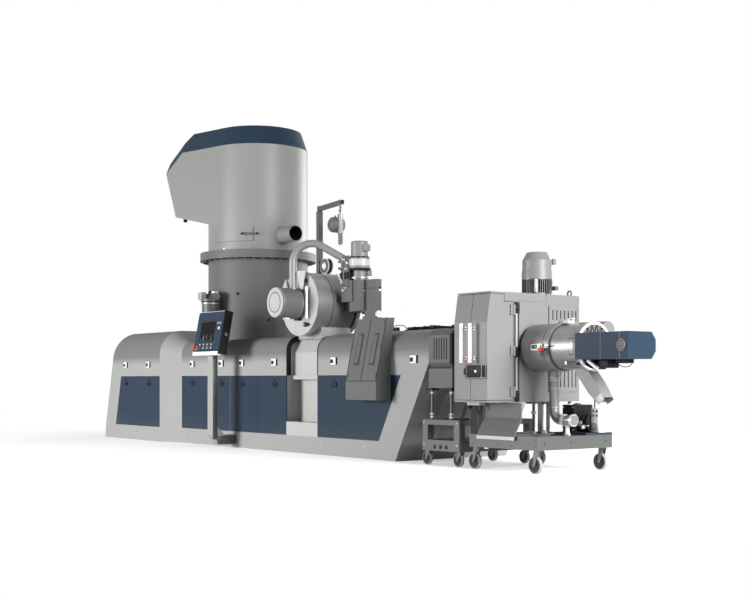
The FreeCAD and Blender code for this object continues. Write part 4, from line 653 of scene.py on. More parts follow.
def make_melt_fittings():
    """Plate bolts, gauge and valve cluster between the filter hose, its valve column and the motor."""
    front, side = -0.5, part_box("melt_housing")[1][0]
    near, right = front - GAP, side + GAP
    plate = Form("black")
    for z in (2.196, 1.872):
        plate.wear("white").peg((3.448, near, z - 0.024), Y * -0.0057, 0.019)
        plate.peg((right, -0.428, z - 0.024), X * 0.0057, 0.017)
        plate.wear("black").peg((3.448, near, z), Y * -0.0197, 0.016, 0.014, 6)
        plate.peg((right, -0.428, z), X * 0.0177, 0.016, 0.014, 6)
    plate.wear("rubber").block((3.47, front - 0.0016, 2.192), (side, near, 2.197))
    plate.block((right, front, 2.192), (side + 0.0016, -0.44, 2.197))
    plate.done("melt_plate_bolts")
    gauge = Form("white").at(side, -0.456, 1.853)
    gauge.peg(X * GAP, X * 0.0217, 0.043, sides=40)
    gauge.wear("bright").ring(X * GAP, X, 0.0432, 0.047, 0.024, 40)
    gauge.wear("black").peg(X * 0.022, X * 0.002, 0.007)
    gauge.block((0.022, -0.0015, 0), (0.0232, 0.0015, 0.032))
    gauge.done("melt_gauge")
    cluster = Form("zinc").at(0, -0.65, 0)
    for finish, x, z, reach in (
            ("bright", 3.17, 2.56, 0.05), ("zinc", 3.23, 2.585, 0.07), ("bright", 3.29, 2.54, 0.045),
            ("zinc", 3.18, 2.47, 0.06), ("bright", 3.262, 2.462, 0.052)):
        cluster.wear(finish).nut((x, 0.001, z), Y * (-0.001 - reach), 0.02)
        cluster.wear("dark").peg((x, -reach, z), Y * -0.018, 0.013)
    cluster.wear("bright").tube(smooth([
        (3.17, -0.06, 2.56), (3.175, -0.085, 2.48), (3.18, -0.07, 2.38), (3.182, -0.02, 2.3),
        (3.182, 0.004, 2.29)]), 0.01)
    cluster.wear("dark").tube(smooth([
        (3.29, -0.055, 2.54), (3.3, -0.075, 2.4), (3.285, -0.06, 2.25), (3.26, 0.004, 2.215)]), 0.008)
    cluster.wear("zinc")
    for x, z in ((3.182, 2.29), (3.26, 2.215), (3.21, 2.18)):
        cluster.nut((x, 0.001, z), Y * -0.031, 0.018)
    cluster.wear("black").block((3.15, -0.022, 2.33), (3.32, -0.0005, 2.42), 0.005)
    cluster.done("valve_cluster")
    motor = Form("rubber").at(3.36, -0.5, 0)
    motor.ring(Z * 2.604, Z, 0.1193, 0.1235, 0.02)
    motor.wear("light_grey").ring(Z * 2.5, Z, 0.1502, 0.1545, 0.085, 64)
    # Painted shade: the black ring under the pale collar stands in for the shade beneath it.
    motor.wear("rubber").ring(Z * 2.47, Z, 0.096, 0.149, -0.03, 64)
    motor.wear("stainless").ring(Z * 2.33, Z, 0.0955, 0.126, 0.022, 64)
    motor.wear("zinc").bolts(Z * 2.6, Z, 0.136, 12, 0.009, 0.008)
    motor.wear("motor_grey").block((0.045, 0.045, 2.372), (0.115, 0.115, 2.44), 0.004)
    motor.done("filter_motor_fittings")


def make_jib_fittings():
    """The balancer's coil, wire bail, shackle and cover, the jib's nuts, and a reel on the post."""
    along, side = outward(-10.6), outward(79.4)
    root, hook_reach, tip_reach, cover_reach = Vector((1.85, -0.105, 3.4283)), 0.712, 0.772, 0.582
    hook = root + along * hook_reach
    low = Vector((hook.x, hook.y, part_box("spring_balancer")[0][2]))
    turns, steps, top, radius = 7, 16, 3.035, 0.031
    fall = low.z + 0.006 - top
    coil = Form("dark").at(hook.x, hook.y, top)
    coil.tube([outward(360.0 * i / steps - 10.6) * radius + Z * (fall * i / (steps * turns))
               for i in range(steps * turns + 1)], 0.0055, 8)
    coil.done("balancer_coil", "jib")
    bail = Form("bright").at(*low)
    bail.tube(smooth([along * out + Z * up for out, up in (
        (0, 0.004), (-0.04, -0.03), (-0.056, -0.1), (0, -0.15), (0.056, -0.1), (0.04, -0.03),
        (0, 0.004))]), 0.0045, 8)
    bail.wear("dark").at(*hook)
    for drop, axis in ((-0.028, side), (-0.075, along)):
        bail.turned(Z * drop, axis, [(0.014, -0.006), (0.026, -0.006), (0.026, 0.006), (0.014, 0.006)], 24)
    bail.wear("bright").tube([along * out + Z * up for out, up in (
        (0.048, 0.002), (0.046, -0.15), (0.02, -0.23))], 0.004, 8)
    bail.done("balancer_shackle", "jib")
    plate = Form("drum_grey").at(*(root + along * cover_reach - Z * 0.26))
    for way in (side, -side):
        plate.wear("drum_grey").turned(way * 0.045, way, [
            (0, 0), (0.1085, 0), (0.1045, 0.022), (0.093, 0.044), (0.072, 0.062), (0.04, 0.072), (0, 0.075)])
        plate.wear("dark").peg(way * 0.116, way * 0.012, 0.018, 0.014)
    plate.peg(Z * 0.1095 - along * 0.035, Z * 0.0245 - along * 0.005, 0.012)
    plate.done("balancer_cover", "jib")
    tip = Form("black").at(*(root + along * tip_reach))
    tip.block((-0.004, -0.026, 0.012), (0.006, 0.026, 0.062), 0.003)
    tip.wear("zinc").at(*hook).nut(Z * 0.067, Z * 0.015, 0.018)
    tip.at(*root).nut(Z * 0.0735, Z * 0.0145, 0.022)
    tip.done("jib_fittings", "jib")
    reel = Form("light_grey").at(2.02, -0.105, 2.625)
    reel.turned(Y * 0.045, -Y, [
        (0, 0), (0.112, 0), (0.112, 0.012), (0.075, 0.012), (0.075, 0.07), (0.112, 0.07), (0.112, 0.082),
        (0, 0.082)], 40)
    reel.wear("rubber").ring(Y * 0.03, -Y, 0.0755, 0.104, 0.052, 40)
    reel.wear("dark").ring(Y * -0.037, -Y, 0.06, 0.098, 0.006, 32)
    reel.wear("white").peg(Y * -0.037, Y * -0.019, 0.034, 0.026)
    reel.wear("frame_grey").block((-0.1345, -0.02, -0.025), (-0.075, 0.02, 0.025), 0.003)
    reel.done("post_reel")


def make_lid_fittings():
    """Latches, dark seal and the red lead across the barrel lid."""
    (left, front, base), (right, _, top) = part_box("barrel_lid")
    lid = Form("rubber")
    lid.block((left - 0.006, front - 0.004, base + 0.0005), (right + 0.006, front - GAP, base + 0.016))
    for x in (left + 0.11, left + 0.32, left + 0.53):
        lid.at(x, front, base).wear("dark").block((-0.03, -0.014, 0.018), (0.03, -0.0005, 0.04), 0.003)
        lid.wear("zinc").nut((0, 0.06, top - base), Z * 0.01, 0.014)
    lid.at(*HERE).wear("dark").block((left + 0.06, -0.06, top), (left + 0.15, 0.06, top + 0.035), 0.006)
    lid.block((right - 0.15, -0.05, top), (right - 0.08, 0.05, top + 0.028), 0.006)
    lid.wear("red").tube(smooth([
        (3.78, -0.33, 1.6215), (3.86, -0.318, 1.69), (3.96, -0.32, 1.7), (4.08, -0.33, 1.69),
        (4.15, -0.345, 1.655), (4.199, -0.35, 1.64)]), 0.006)
    lid.wear("zinc").nut((3.78, -0.33, 1.612), Z * 0.028, 0.014)
    lid.wear("black").block((3.88, -0.35, 1.6185), (3.95, -0.29, 1.675), 0.005)
    lid.done("lid_fittings")


def make_chute_fittings():
    """Dark pull grips, hinge beads and door seams of the discharge chute."""
    (left, front, _), (right, _, _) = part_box("discharge_chute")
    lean, fold, top = 0.2179, 0.977, 1.754
    pull_foot, pull_top = 1.184, 1.566

    def on_face(x, z, proud):
        return (x, front + 0.022 + (z - fold) * lean - proud, z)

    chute = Form("fork_grey")
    for x in (4.119, 4.431):
        chute.tube([on_face(x, pull_foot, 0.06), on_face(x, pull_top, 0.06)], 0.0115, 16)
    chute.wear("rubber")
    left, right = left + 0.004, right - 0.004
    for x in (left, (left + right) / 2, right):
        chute.tube([on_face(x, fold + 0.003, 0.0005), on_face(x, top, 0.0005)], 0.0035, 8)
    edge = Vector((0, on_face(0, fold, 0.0005)[1], fold + 0.002))
    chute.tube([edge + X * left, edge + X * right], 0.0035, 8)
    chute.wear("dark")
    for z in (1.05, 1.4, 1.7):
        for x in (left + 0.018, right - 0.018):
            chute.tube([on_face(x, z - 0.03, 0.004), on_face(x, z + 0.03, 0.004)], 0.006, 12)
    chute.done("chute_fittings")


def make_guard_fittings():
    """Black plates of painted shade behind the guard's slots and over its right end, the guard's screws, and
    the dark jack screws under it.
    """
    left, right, front, low, top = 5.386, 5.8, -1.005, 1.125, 1.58
    # Painted shade: black plates behind the guard's slots.
    guard = Form("black").at((left + right) / 2, front, 0)
    for index in range(6):
        x = 0.044 * (index - 2.5)
        guard.block((x - 0.0078, 0.01, low + 0.106), (x + 0.0078, 0.0118, top - 0.106))
    # Painted shade: a black plate over the guard's right end stands in for the shade on that side.
    guard.wear("rubber").at(right, front, 0).section([
        (-0.0012, low + 0.069), (-0.0012, top - 0.069), (0.0705, top + 0.0012), (0.735, top + 0.0012),
        (0.735, low - 0.004), (0.0705, low - 0.0012)], -0.042, 0.004)
    guard.wear("frame_grey")
    guard.studs((left - right + 0.03, -0.062), (0,), (low + 0.085, top - 0.085), Y * -0.004, 0.007, 24)
    guard.done("guard_fittings")
    cart_low, cart_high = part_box("cart_frame")
    screws = Form("dark")
    for x in (cart_low[0] + 0.126, cart_high[0] - 0.18):
        for y in (-0.96, -0.3):
            screws.at(x, y, 0)
            screws.wear("dark").peg(Z * 0.56, Z * 0.3165, 0.0186)
            for z in (0.565, 0.6, 0.845):
                screws.wear("zinc").nut(Z * (z - 0.012), Z * 0.024, 0.032)
            screws.wear("black").block((-0.058, -0.058, 0.8772), (0.058, 0.058, 0.8998), 0.002)
    screws.wear("frame_grey").at(*HERE).tube([(5.47, -0.56, 0.54), (5.64, -0.56, 0.88)], 0.03, 4)
    screws.done("jack_screw_fittings")


def make_door_fittings(name, way, seam, front):
    """White handle sleeve, black lock and screws of one cabinet door, way being its side of the seam."""
    grip = Form("white").at(seam + 0.07 * way, front, 0)
    grip.block((-0.0142, -0.0912, 1.1788), (0.0142, -0.0628, 1.6112), 0.004)
    grip.wear("zinc")
    for z in (1.232, 1.558):
        grip.ring((0, -0.0005, z), -Y, 0.009, 0.018, 0.006, 24)
    grip.done("handle_sleeve_" + name, "door_" + name)
    lock = Form("black").at(seam, front, 0)
    if way > 0:
        lock.block((0.005, -0.0712, 1.0138), (0.247, -0.0005, 1.1612), 0.01)
        lock.block((0.127, -0.088, 1.03), (0.237, -0.0712, 1.145), 0.008)
        lock.wear("bright").block((0.128, -0.076, 1.064), (0.152, -0.0712, 1.086), 0.003)
        lock.wear("zinc").peg((0.182, -0.088, 1.088), Y * -0.008, 0.014)
    else:
        lock.block((-0.034, -0.0722, 1.05), (-0.004, -0.07, 1.125), 0.001)
        lock.wear("red").tube(smooth([
            (-0.03, -0.03, 1.16), (-0.036, -0.05, 1.195), (-0.012, -0.052, 1.214),
            (-0.01, -0.03, 1.17)]), 0.0035, 8)
    lock.done("door_lock_" + name, "door_" + name)
    screws = Form("cabinet_grey").at(seam + 0.245 * way, front, 0)
    screws.studs((0,), (0,), (0.84, 0.96, 1.3, 1.48), Y * -0.004, 0.007, 24)
    screws.done("door_screws_" + name, "door_" + name)


def make_cabinet_fittings():
    """Door fittings, hinge strip, seams, painted shade in the vent slots, the flange of the front column and
    the feet's jacks.
    """
    front, seam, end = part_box("cabinet_body")[0][1], 6.314, 6.581
    make_door_fittings("right", 1.0, seam, front)
    make_door_fittings("left", -1.0, seam, front)
    strip = Form("rubber").at(end, -0.75, 0)
    strip.block((GAP, -0.033, 0.772), (0.005, 0.038, 1.85), 0.001)
    strip.wear("body_grey").block((0.005, -0.02, 0.78), (0.01, 0.008, 1.842), 0.001)
    strip.wear("fork_grey").block((0.005, 0.012, 0.78), (0.008, 0.02, 1.842), 0.001)
    for z in (0.815, 1.3, 1.785):
        strip.wear("black").block((GAP, -0.03, z - 0.06), (0.022, 0.03, z + 0.06), 0.005)
        strip.wear("fork_grey").studs((0.022,), (0,), (z - 0.045, z, z + 0.045), X * 0.004, 0.006)
    strip.done("hinge_strip")
    seams = Form("dark").at(end, 0, 0)
    seams.block((0.0002, -0.289, 1.855), (0.0012, -0.287, 1.954))
    seams.block((0.0002, -0.71, 1.862), (0.0012, -0.289, 1.864))
    seams.at(end + 0.014, 0, 0)
    seams.wear("cabinet_grey").studs((0,), (-0.225, 0.19), (0.89, 1.34, 1.8), X * 0.005, 0.008)
    seams.wear("dark").studs((0,), (-0.009, 0.053), (1.748,), X * 0.004, 0.009, 24)
    seams.studs((0,), (0.001, 0.063), (1.7, 1.66), X * 0.003, 0.006, 24)
    seams.done("cabinet_seams")
    # Painted shade: black plates behind the vent slots darken them.
    slots = Form("black").at(end, 0.168, 0)
    for low, high, count in ((1.671, 1.779, 7), (0.911, 1.119, 5)):
        for index in range(count):
            slots.block((0.0062, 0.0005 - 0.062 * index, low), (0.0075, 0.0155 - 0.062 * index, high))
    slots.done("vent_slot_shade")
    flange = Form("light_grey")
    flange.block((6.072, -1.022, 0.712), (6.275, -0.88, 0.7495), 0.003)
    flange.wear("black").block((6.066, -1.03, 0.676), (6.12, -0.89, 0.7115), 0.003)
    flange.block((6.1085, -1.0015, 0.394), (6.211, -1.0002, 0.711))
    flange.wear("dark").block((6.2102, -1.0002, 0.394), (6.2115, -0.8995, 0.711))
    flange.studs((6.088, 6.258), (-1.006, -0.896), (0.712,), Z * -0.044, 0.011)
    flange.done("column_flange")
    jack = Form("dark").at(6.556, -0.46, 0)
    jack.block((-0.066, -0.06, 0.7285), (0.019, 0.06, 0.7495), 0.003)
    jack.peg(Z * 0.395, Z * 0.333, 0.016)
    jack.wear("zinc").nut(Z * 0.62, Z * 0.025, 0.03)
    jack.nut(Z * 0.394, Z * 0.026, 0.03)
    jack.at(6.541, 0, 0).studs((0,), (-0.28, 0.13), (0.394,), Z * 0.031, 0.034)
    jack.wear("white").studs((0,), (-0.28, 0.13), (0.43,), Z * 0.29, 0.0206, 24)
    jack.done("cabinet_jacks")


def make_cabinet_motor_fittings():
    """Dark cooling fins below the pale cowl, centre strip, grille and terminal box of the upright motor."""
    (left, front, base), (right, back, top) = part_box("cabinet_motor")
    x, y, foot, cowl = (left + right) / 2, (front + back) / 2, base + 0.032, base + 0.184
    fins = Form("rubber").at(x, y, 0)
    fins.ring(Z * foot, Z, 0.1521, 0.1535, cowl - foot)
    fins.wear("fork_grey").blades(0.15, 0.1745, 0.007, foot, cowl, 44)
    fins.wear("light_grey").block((0.1, front - y + 0.022, foot), (0.128, front - y + 0.06, cowl), 0.002)
    fins.wear("dark").ring(Z * (cowl - 0.004), Z, 0.166, 0.1765, 0.008)
    for radius in (0.03, 0.055, 0.08, 0.105):
        fins.ring(Z * top, Z, radius, radius + 0.006, 0.004)
    fins.wear("motor_grey").turned(Z * (cowl + 0.004), Z, [
        (0.168, 0), (0.176, 0), (0.176, 0.075), (0.1705, 0.11), (0.168, 0.11)], 64)
    fins.done("cabinet_motor_fins")
    box = Form("motor_grey").at(right, y, base)
    box.block((-0.075, 0.118, 0.36), (-0.028, 0.165, 0.425), 0.004)
    box.wear("fork_grey").block((-0.06, 0.11, 0.064), (0.01, 0.16, 0.109), 0.004)
    box.done("motor_terminal_box")


def make_head_fittings():
    """Clamp rings, access plate, clamp switch, lock rod and end rim of the pelletizer head."""
    low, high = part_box("pelletizer_chamber")
    start, end = low[0], high[0]
    axis_y, axis_z = (low[1] + high[1]) / 2, (low[2] + high[2]) / 2
    rings = Form("turned_steel").at(start, axis_y, axis_z)
    rings.ring(X * 0.27, X, 0.2403, 0.262, 0.106, 96)
    rings.ring(X * 0.384, X, 0.2403, 0.2625, 0.078, 96)
    rings.wear("rubber").ring(X * 0.376, X, 0.2403, 0.2595, 0.008, 96)
    rings.ring(X * 0.054, X, 0.2152, 0.26, 0.006, 96)
    # Painted shade: the dark ring between the clamp rings and the chamber.
    rings.wear("dark").ring(X * 0.462, X, 0.2403, 0.25, 0.012, 96)
    rings.wear("light_grey").block((0.42, -0.05, 0.255), (0.56, 0.05, 0.298), 0.004)
    rings.block((0.48, -0.03, 0.298), (0.6, 0.02, 0.316), 0.003)
    rings.wear("black").peg((0.42, -0.02, 0.262), X * -0.025, 0.012)
    rings.wear("zinc").studs((0.445, 0.535), (-0.036,), (0.298,), Z * 0.01, 0.01)
    rings.done("clamp_rings")
    plate = Form("rubber", Matrix.Translation((end, axis_y, axis_z)) @ Matrix((Z, -Y, X)).to_4x4())
    plate.wrap(0.2403, 0.2425, 69.0, 111.0, -0.082, -0.0005)
    plate.wear("stainless").wrap(0.2425, 0.2445, 71.0, 109.0, -0.077, -0.0005)
    plate.done("access_plate")
    switch = Form("white").at(start + 0.262, axis_y - 0.268, axis_z)
    switch.block((0, -0.048, -0.03), (0.12, 0.008, 0.036), 0.005)
    switch.wear("green").block((0.012, -0.051, -0.018), (0.1, -0.048, 0.027), 0.002)
    switch.wear("red").peg((0.138, -0.02, -0.028), Y * -0.042, 0.024, 0.021)
    switch.wear("zinc").block((0.12, -0.028, 0.01), (0.24, -0.018, 0.026), 0.002)
    switch.wear("white").block((0.125, -0.03, -0.006), (0.22, -0.018, 0.004), 0.002)
    switch.wear("dark").peg((0.165, -0.032, 0.036), Z * -0.076, 0.012)
    switch.block((0.085, -0.016, -0.052), (0.205, 0.01, -0.04), 0.003)
    switch.wear("fork_grey").studs((0.105, 0.15, 0.185), (-0.006,), (-0.048,), (0, 0.012, -0.056), 0.008, 24)
    switch.wear("red").tube(smooth([
        (0, -0.006, 0.024), (-0.03, 0.006, 0.042), (-0.06, 0.012, 0.06), (-0.075, 0.016, 0.03)]), 0.003, 8)
    switch.done("clamp_switch")
    rod = Form("dark").at(end, axis_y - 0.19, axis_z - 0.178)
    rod.peg((-0.16, 0, 0.006), (0.18, 0, -0.006), 0.01)
    rod.wear("black").peg(X * 0.005, (0.03, 0, -0.001), 0.017)
    rod.wear("zinc").block((-0.17, -0.01, -0.012), (-0.14, 0.04, 0.028), 0.004)
    rod.done("lock_rod")
    rim = Form("white").at(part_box("pelletizer_end")[1][0], axis_y, axis_z)
    rim.ring(HERE, X, 0.236, 0.261, 0.016, 96)
    rim.wear("drum_grey").ring(HERE, X, 0.11, 0.236, 0.004, 96)
    zigzag, corners = [], 36
    for index in range(corners):
        angle, reach = math.tau * index / corners, 0.15 if index % 2 else 0.23
        zigzag.append((0.006, reach * math.cos(angle), reach * math.sin(angle)))
    rim.wear("black").tube(zigzag, 0.0075, 6, True)
    rim.ring(X * 0.004, X, 0.11, 0.148, 0.01, 64)
    rim.done("end_rim")
    make_cover_fittings(axis_y, axis_z)


def make_cover_fittings(axis_y, axis_z):
    """The drive cover's knob and seams, the parts below it, and its thin lead."""
    low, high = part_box("drive_cover")
    cover = Form("drum_grey").at(high[0] - 0.09, low[1], axis_z + 0.001)
    cover.turned(HERE, -Y, [
        (0, 0), (0.056, 0), (0.058, 0.004), (0.054, 0.014), (0.04, 0.019), (0, 0.021)])
    cover.wear("dark").ring(HERE, -Y, 0.0582, 0.0615, 0.002)
    for x in (low[0] + 0.345, low[0] + 0.6):
        cover.at(x, low[1], 0).block((0, -0.0012, low[2] + 0.001), (0.003, -0.0002, high[2] - 0.001))
    cover.done("cover_fittings")
    under, roof = Form("black").at(0, axis_y, 0), low[2] - 0.0005
    under.block((7.478, -0.12, 1.105), (7.59, 0.05, roof), 0.008)
    under.block((7.64, -0.13, 1.118), (7.775, 0.04, roof), 0.01)
    under.block((7.59, -0.06, 1.165), (7.98, 0.03, roof), 0.004)
    under.wear("white").tube([(7.52, -0.15, 1.196), (7.59, -0.15, 1.15), (7.64, -0.14, 1.112)], 0.02, 12)
    under.wear("bright").tube([(7.478, -0.16, 1.15), (7.56, -0.17, 1.112), (7.6, -0.16, 1.105)], 0.009)
    under.wear("rubber").peg((7.78, -0.06, 1.198), (0.021, 0, -0.015), 0.012, 0.008)
    under.done("under_cover_parts")
    lead = bpy.data.curves.new("cover_lead", "CURVE")
    lead.dimensions, lead.bevel_depth, lead.bevel_resolution, lead.resolution_u = "3D", LEAD_RADIUS, 3, 8
    route = [(x, axis_y - sag, z) for x, sag, z in (
        (7.8, 0.06, 1.184), (7.85, 0.06, 1.15), (7.925, 0.062, 1.126), (7.985, 0.064, 1.128),
        (8.028, 0.064, 1.15), (8.036, 0.064, 1.18), (8.036, 0.064, 1.206))]
    spline = lead.splines.new("NURBS")
    spline.points.add(len(route) - 1)
    for point, place in zip(spline.points, route):
        point.co = (*place, 1.0)
    spline.order_u = 3
    spline.use_endpoint_u = True
    lead.materials.append(FINISHES["rubber"])
    lead_piece = add_object("cover_lead", lead)
    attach(lead_piece, "machine")


def make_outlet_fittings():
    """The light cuff on the spout's mouth, unions on the water pipe, and the tank, pump and control box."""
    low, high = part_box("outlet_spout")
    along = Vector((0.08, 0.0, 0.051)).normalized()
    mouth = Matrix.Translation((7.63, (low[1] + high[1]) / 2, 0.7635))
    cuff = Form("light_grey", mouth @ Matrix((along, Y, along.cross(Y))).transposed().to_4x4())
    for y in (-0.0762, 0.0762):
        cuff.block((-0.046, y - 0.001, 0.004), (0.046, y + 0.001, 0.082), 0.0005)
    cuff.done("spout_cuff")
    low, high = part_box("water_pipe")
    unions = Form("zinc").at(low[0] + 0.068, (low[1] + high[1]) / 2, 0)
    unions.turned(Z * 0.985, Z, [
        (0.0545, 0), (0.072, 0), (0.072, 0.01), (0.062, 0.016), (0.062, 0.026), (0.072, 0.032),
        (0.072, 0.042), (0.0545, 0.042)], 40)
    unions.ring(Z * 0.9, Z, 0.0542, 0.0575, 0.008, 40)
    unions.ring(Z * 0.69, Z, 0.0542, 0.0575, 0.012, 40)
    unions.wear("bright").ring((0.13, 0, 0.56), X, 0.0542, 0.064, 0.03, 40)
    unions.ring((0.265, 0, 0.56), X, 0.0542, 0.066, 0.028, 40)
    unions.bolts((0.292, 0, 0.56), X, 0.056, 6, 0.007, 0.006)
    unions.wear("white").peg((0.19, 0, 0.505), Z * -0.087, 0.024)
    unions.wear("zinc").nut((0.19, 0, 0.418), Z * -0.024, 0.038)
    unions.done("water_pipe_unions")
    box = Form("white").at(7.095, -0.0515, 0)
    box.block((-0.0565, 0, 0.4172), (0.0565, 0.113, 0.6885), 0.004)
    box.wear("black").studs((-0.025, 0.027), (0,), (0.602, 0.65), Y * -0.006, 0.01, 24)
    box.wear("bright").block((-0.04, -0.003, 0.45), (0.04, 0, 0.52), 0.002)
    box.done("control_box_cover")
    (left, front, _), (right, back, _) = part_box("water_unit")
    unit = Form("panel_blue")
    unit.block((left, front - 0.003, 0.3935), (right + 0.003, front - GAP, 0.416))
    unit.block((right + GAP, front, 0.3935), (right + 0.003, back, 0.416))
    unit.wear("dark")
    for x, outer, thick in ((6.872, 0.106, 0.014), (6.94, 0.104, 0.01), (7.01, 0.106, 0.014)):
        unit.ring((x, 0, 0.517), X, 0.1002, outer, thick, 40)
    unit.ring((6.785, 0, 0.717), Z, 0.03, 0.045, 0.01, 32)
    unit.peg((6.785, 0, 0.717), Z * 0.018, 0.032, 0.026)
    unit.wear("zinc").nut((6.93, -0.09, 0.52), Y * -0.038, 0.022)
    unit.studs((6.715, 6.855), (front + 0.12,), (0.44, 0.69), Y * -0.006, 0.009)
    unit.wear("white").peg((6.965, -0.08, 0.47), Y * -0.044, 0.016)
    unit.wear("bright").peg((6.9, -0.095, 0.49), X * 0.136, 0.009)
    unit.done("water_unit_fittings")
    (left, front, base), (right, _, _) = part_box("scrap_chute")
    lip = Form("light_grey")
    lip.block((left + 0.0005, front - 0.002, base + 0.001), (right - 0.0005, front - 0.0002, base + 0.039))
    lip.wear("zinc").nut((right - 0.03, front - 0.002, base + 0.018), Y * -0.005, 0.009)
    lip.done("scrap_chute_lip")


def make_caster_fittings():
    """Hub discs and treads on the wheels, and axle nuts and king bolts on the forks."""
    face_depth, stem_offset, spokes = 0.0078, 0.034, 5
    for name in (item for item in frame["nodes"] if item.startswith("caster_wheel_")):
        tag = name[len("caster_wheel_"):]
        low, high = (Vector(corner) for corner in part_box(name))
        centre, radius, half = (low + high) / 2, (high.z - low.z) / 2, (high.y - low.y) / 2
        hub = Form("hub_grey").at(*centre)
        for out in (-Y, Y):
            face = out * (half - face_depth)
            hub.wear("hub_grey").ring(out * half, out, radius * 0.69, radius * 0.86, 0.001, 40)
            hub.ring(face, out, radius * 0.2, radius * 0.68, 0.003, 40)
            hub.wear("black").ring(face, out, 0.01, radius * 0.2, 0.005, 32)
            for index in range(spokes):
                angle = math.tau * index / spokes
                spot = Vector((math.cos(angle), 0, math.sin(angle))) * radius * 0.44
                hub.peg(face + spot, out * 0.0042, radius * 0.055)
        hub.done("hub_" + tag, "wheel_" + tag)
        fork_low, fork_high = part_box("caster_fork_" + tag)
        nuts = Form("fork_grey")
        for out, y in ((-Y, fork_low[1]), (Y, fork_high[1])):
            nuts.at(centre.x, y, centre.z).nut(HERE, out * 0.008, 0.013)
            nuts.ring(HERE, out, 0.0095, 0.018, 0.002, 24)
        nuts.wear("dark").at(centre.x + stem_offset, centre.y, fork_high[2])
        nuts.ring(Z * -0.0045, Z, 0.0165, 0.028, 0.0035, 32)
        nuts.done("fork_bolts_" + tag, "swivel_" + tag)


def make_frame_bolts():
    """Cover screws along the plinth, bolts of the trolley and the cart, and the cart's plugs."""
    plinth = Form("zinc")
    plinth.studs((-3.1, -2.1, -1.45), (-1.075,), (0.15,), Y * -0.008, 0.016)
    plinth.studs((-0.6, 0.3, 1.3, 2.1, 3.1, 4.05), (-0.9255,), (0.15,), Y * -0.008, 0.016)
    plinth.done("plinth_bolts")
    (left, front, _), (right, _, _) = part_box("trolley_frame")
    bolts = Form("dark")
    posts = (left + 0.04, left + 0.43, right - 0.4, right - 0.04)
    bolts.studs(posts, (front,), (0.29, 0.352), Y * -0.006, 0.01)
    bolts.studs((right,), (-0.9, -0.5, 0.05), (0.322,), X * 0.006, 0.01)
    bolts.wear("white").block((6.34, front - 0.008, 0.238), (6.39, front + 0.02, 0.2495), 0.003)
    bolts.done("trolley_bolts")
    (left, front, _), (right, _, _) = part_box("cart_frame")
    cart = Form("black").studs((5.497, 5.597, 5.698), (front + 0.05,), (0.22,), Y * -0.041, 0.026, 24)
    cart.wear("zinc").studs((left + 0.03, right - 0.035), (-1.005,), (0.25, 0.5), Y * -0.006, 0.009)
    cart.done("cart_bolts")


def make_floor():
    """A pale floor that turns as white as the world away from the line."""
    mesh = bpy.data.meshes.new("studio_floor")
    shape = bmesh.new()
    bmesh.ops.create_grid(shape, x_segments=1, y_segments=1, size=120.0)
    shape.to_mesh(mesh)
    shape.free()
    floor = add_object("studio_floor", mesh)
    tree = new_tree("Studio floor")
    seen, white = tree.seen(), (1, 1, 1, 1)
    tone = tree.blend(tree.noise(0.8, 3.0), (0.86, 0.86, 0.86, 1), (0.88, 0.88, 0.88, 1))
    shade = tree.add("BsdfDiffuse", {"Color": tone})
    glow = tree.add("Emission", {"Color": white, "Strength": seen * 0.42})
    near = tree.add("AddShader", {0: shade, 1: glow})
    backdrop = tree.add("Emission", {"Color": white, "Strength": seen})
    away = tree.add("VectorMath", {0: tree.place(), 1: (3.0, 0.0, 0.0)}, 1, operation="DISTANCE")
    both = tree.add("MixShader", {0: away.ramp(6.5, 9.5), 1: near, 2: backdrop})
    tree.add("OutputMaterial", {"Surface": both})
    mesh.materials.append(tree.owner)


def make_world(strength):
    """White for the eye and for reflections, a grey room whose ceiling is dim for everything else."""
    world = bpy.data.worlds.new("Studio")
    bpy.context.scene.world = world
    tree = Tree(world)
    room = tree.axis(2).ramp(0.05, 0.65, strength * 1.5, strength * 0.2)
    light = tree.seen().ramp(0.0, 1.0, room, 1.0)
    back = tree.add("Background", {"Color": (1, 1, 1, 1), "Strength": light})
    tree.add("OutputWorld", {"Surface": back})


def make_lamp(name, place, target, size, power):
    lamp = bpy.data.lights.new(name, "AREA")
    lamp.shape, lamp.size, lamp.energy = "DISK", size, power
    thing = add_object(name, lamp)
    thing.location = place
    thing.rotation_euler = (Vector(target) - Vector(place)).to_track_quat("-Z", "Y").to_euler()


def make_camera(sizes):
    lens = bpy.data.cameras.new("camera")
    horizon, picture_width = 79.4, 750.0
    lens.sensor_width, lens.lens = 36.0, 57.12
    lens.shift_y = horizon / picture_width
    lens.clip_end = 500.0
    camera = add_object("camera", lens)
    camera.location = sizes.eye
    camera.rotation_euler = (math.pi / 2, 0.0, sizes.heading)
    bpy.context.scene.camera = camera


def colour(name, description, default):
    return FloatVectorProperty(name=name, description=description, subtype="COLOR", default=default)


class LineSizes(PropertyGroup):
    body_colour: colour("Body colour", "Powder coat of the housings", (0.30, 0.303, 0.295))
    cabinet_colour: colour("Cabinet colour", "Paint of the valve cabinet", (0.175, 0.176, 0.172))
    head_colour: colour("Head colour", "Paint of the drum's head", (0.200, 0.203, 0.196))
    # Darker partly as the drum's own paint and partly as painted shade for the shadow under its flange.
    drum_colour: colour("Drum colour", "Paint of the drum and the guard", (0.108, 0.109, 0.106))
    panel_colour: colour("Panel colour", "Powder coat of the side panels", (0.014, 0.028, 0.049))
    frame_colour: colour("Frame colour", "Paint of the carts and the crane", (0.060, 0.062, 0.058))
    light_colour: colour("Light colour", "Paint of the covers and flange faces", (0.40, 0.40, 0.395))
    steel_colour: colour("Steel colour", "Stainless steel", (0.235, 0.235, 0.23))
    panel_lean: FloatProperty(name="Panel lean", description="How far the operator panel leans back",
                              subtype="ANGLE", default=math.radians(11.0))


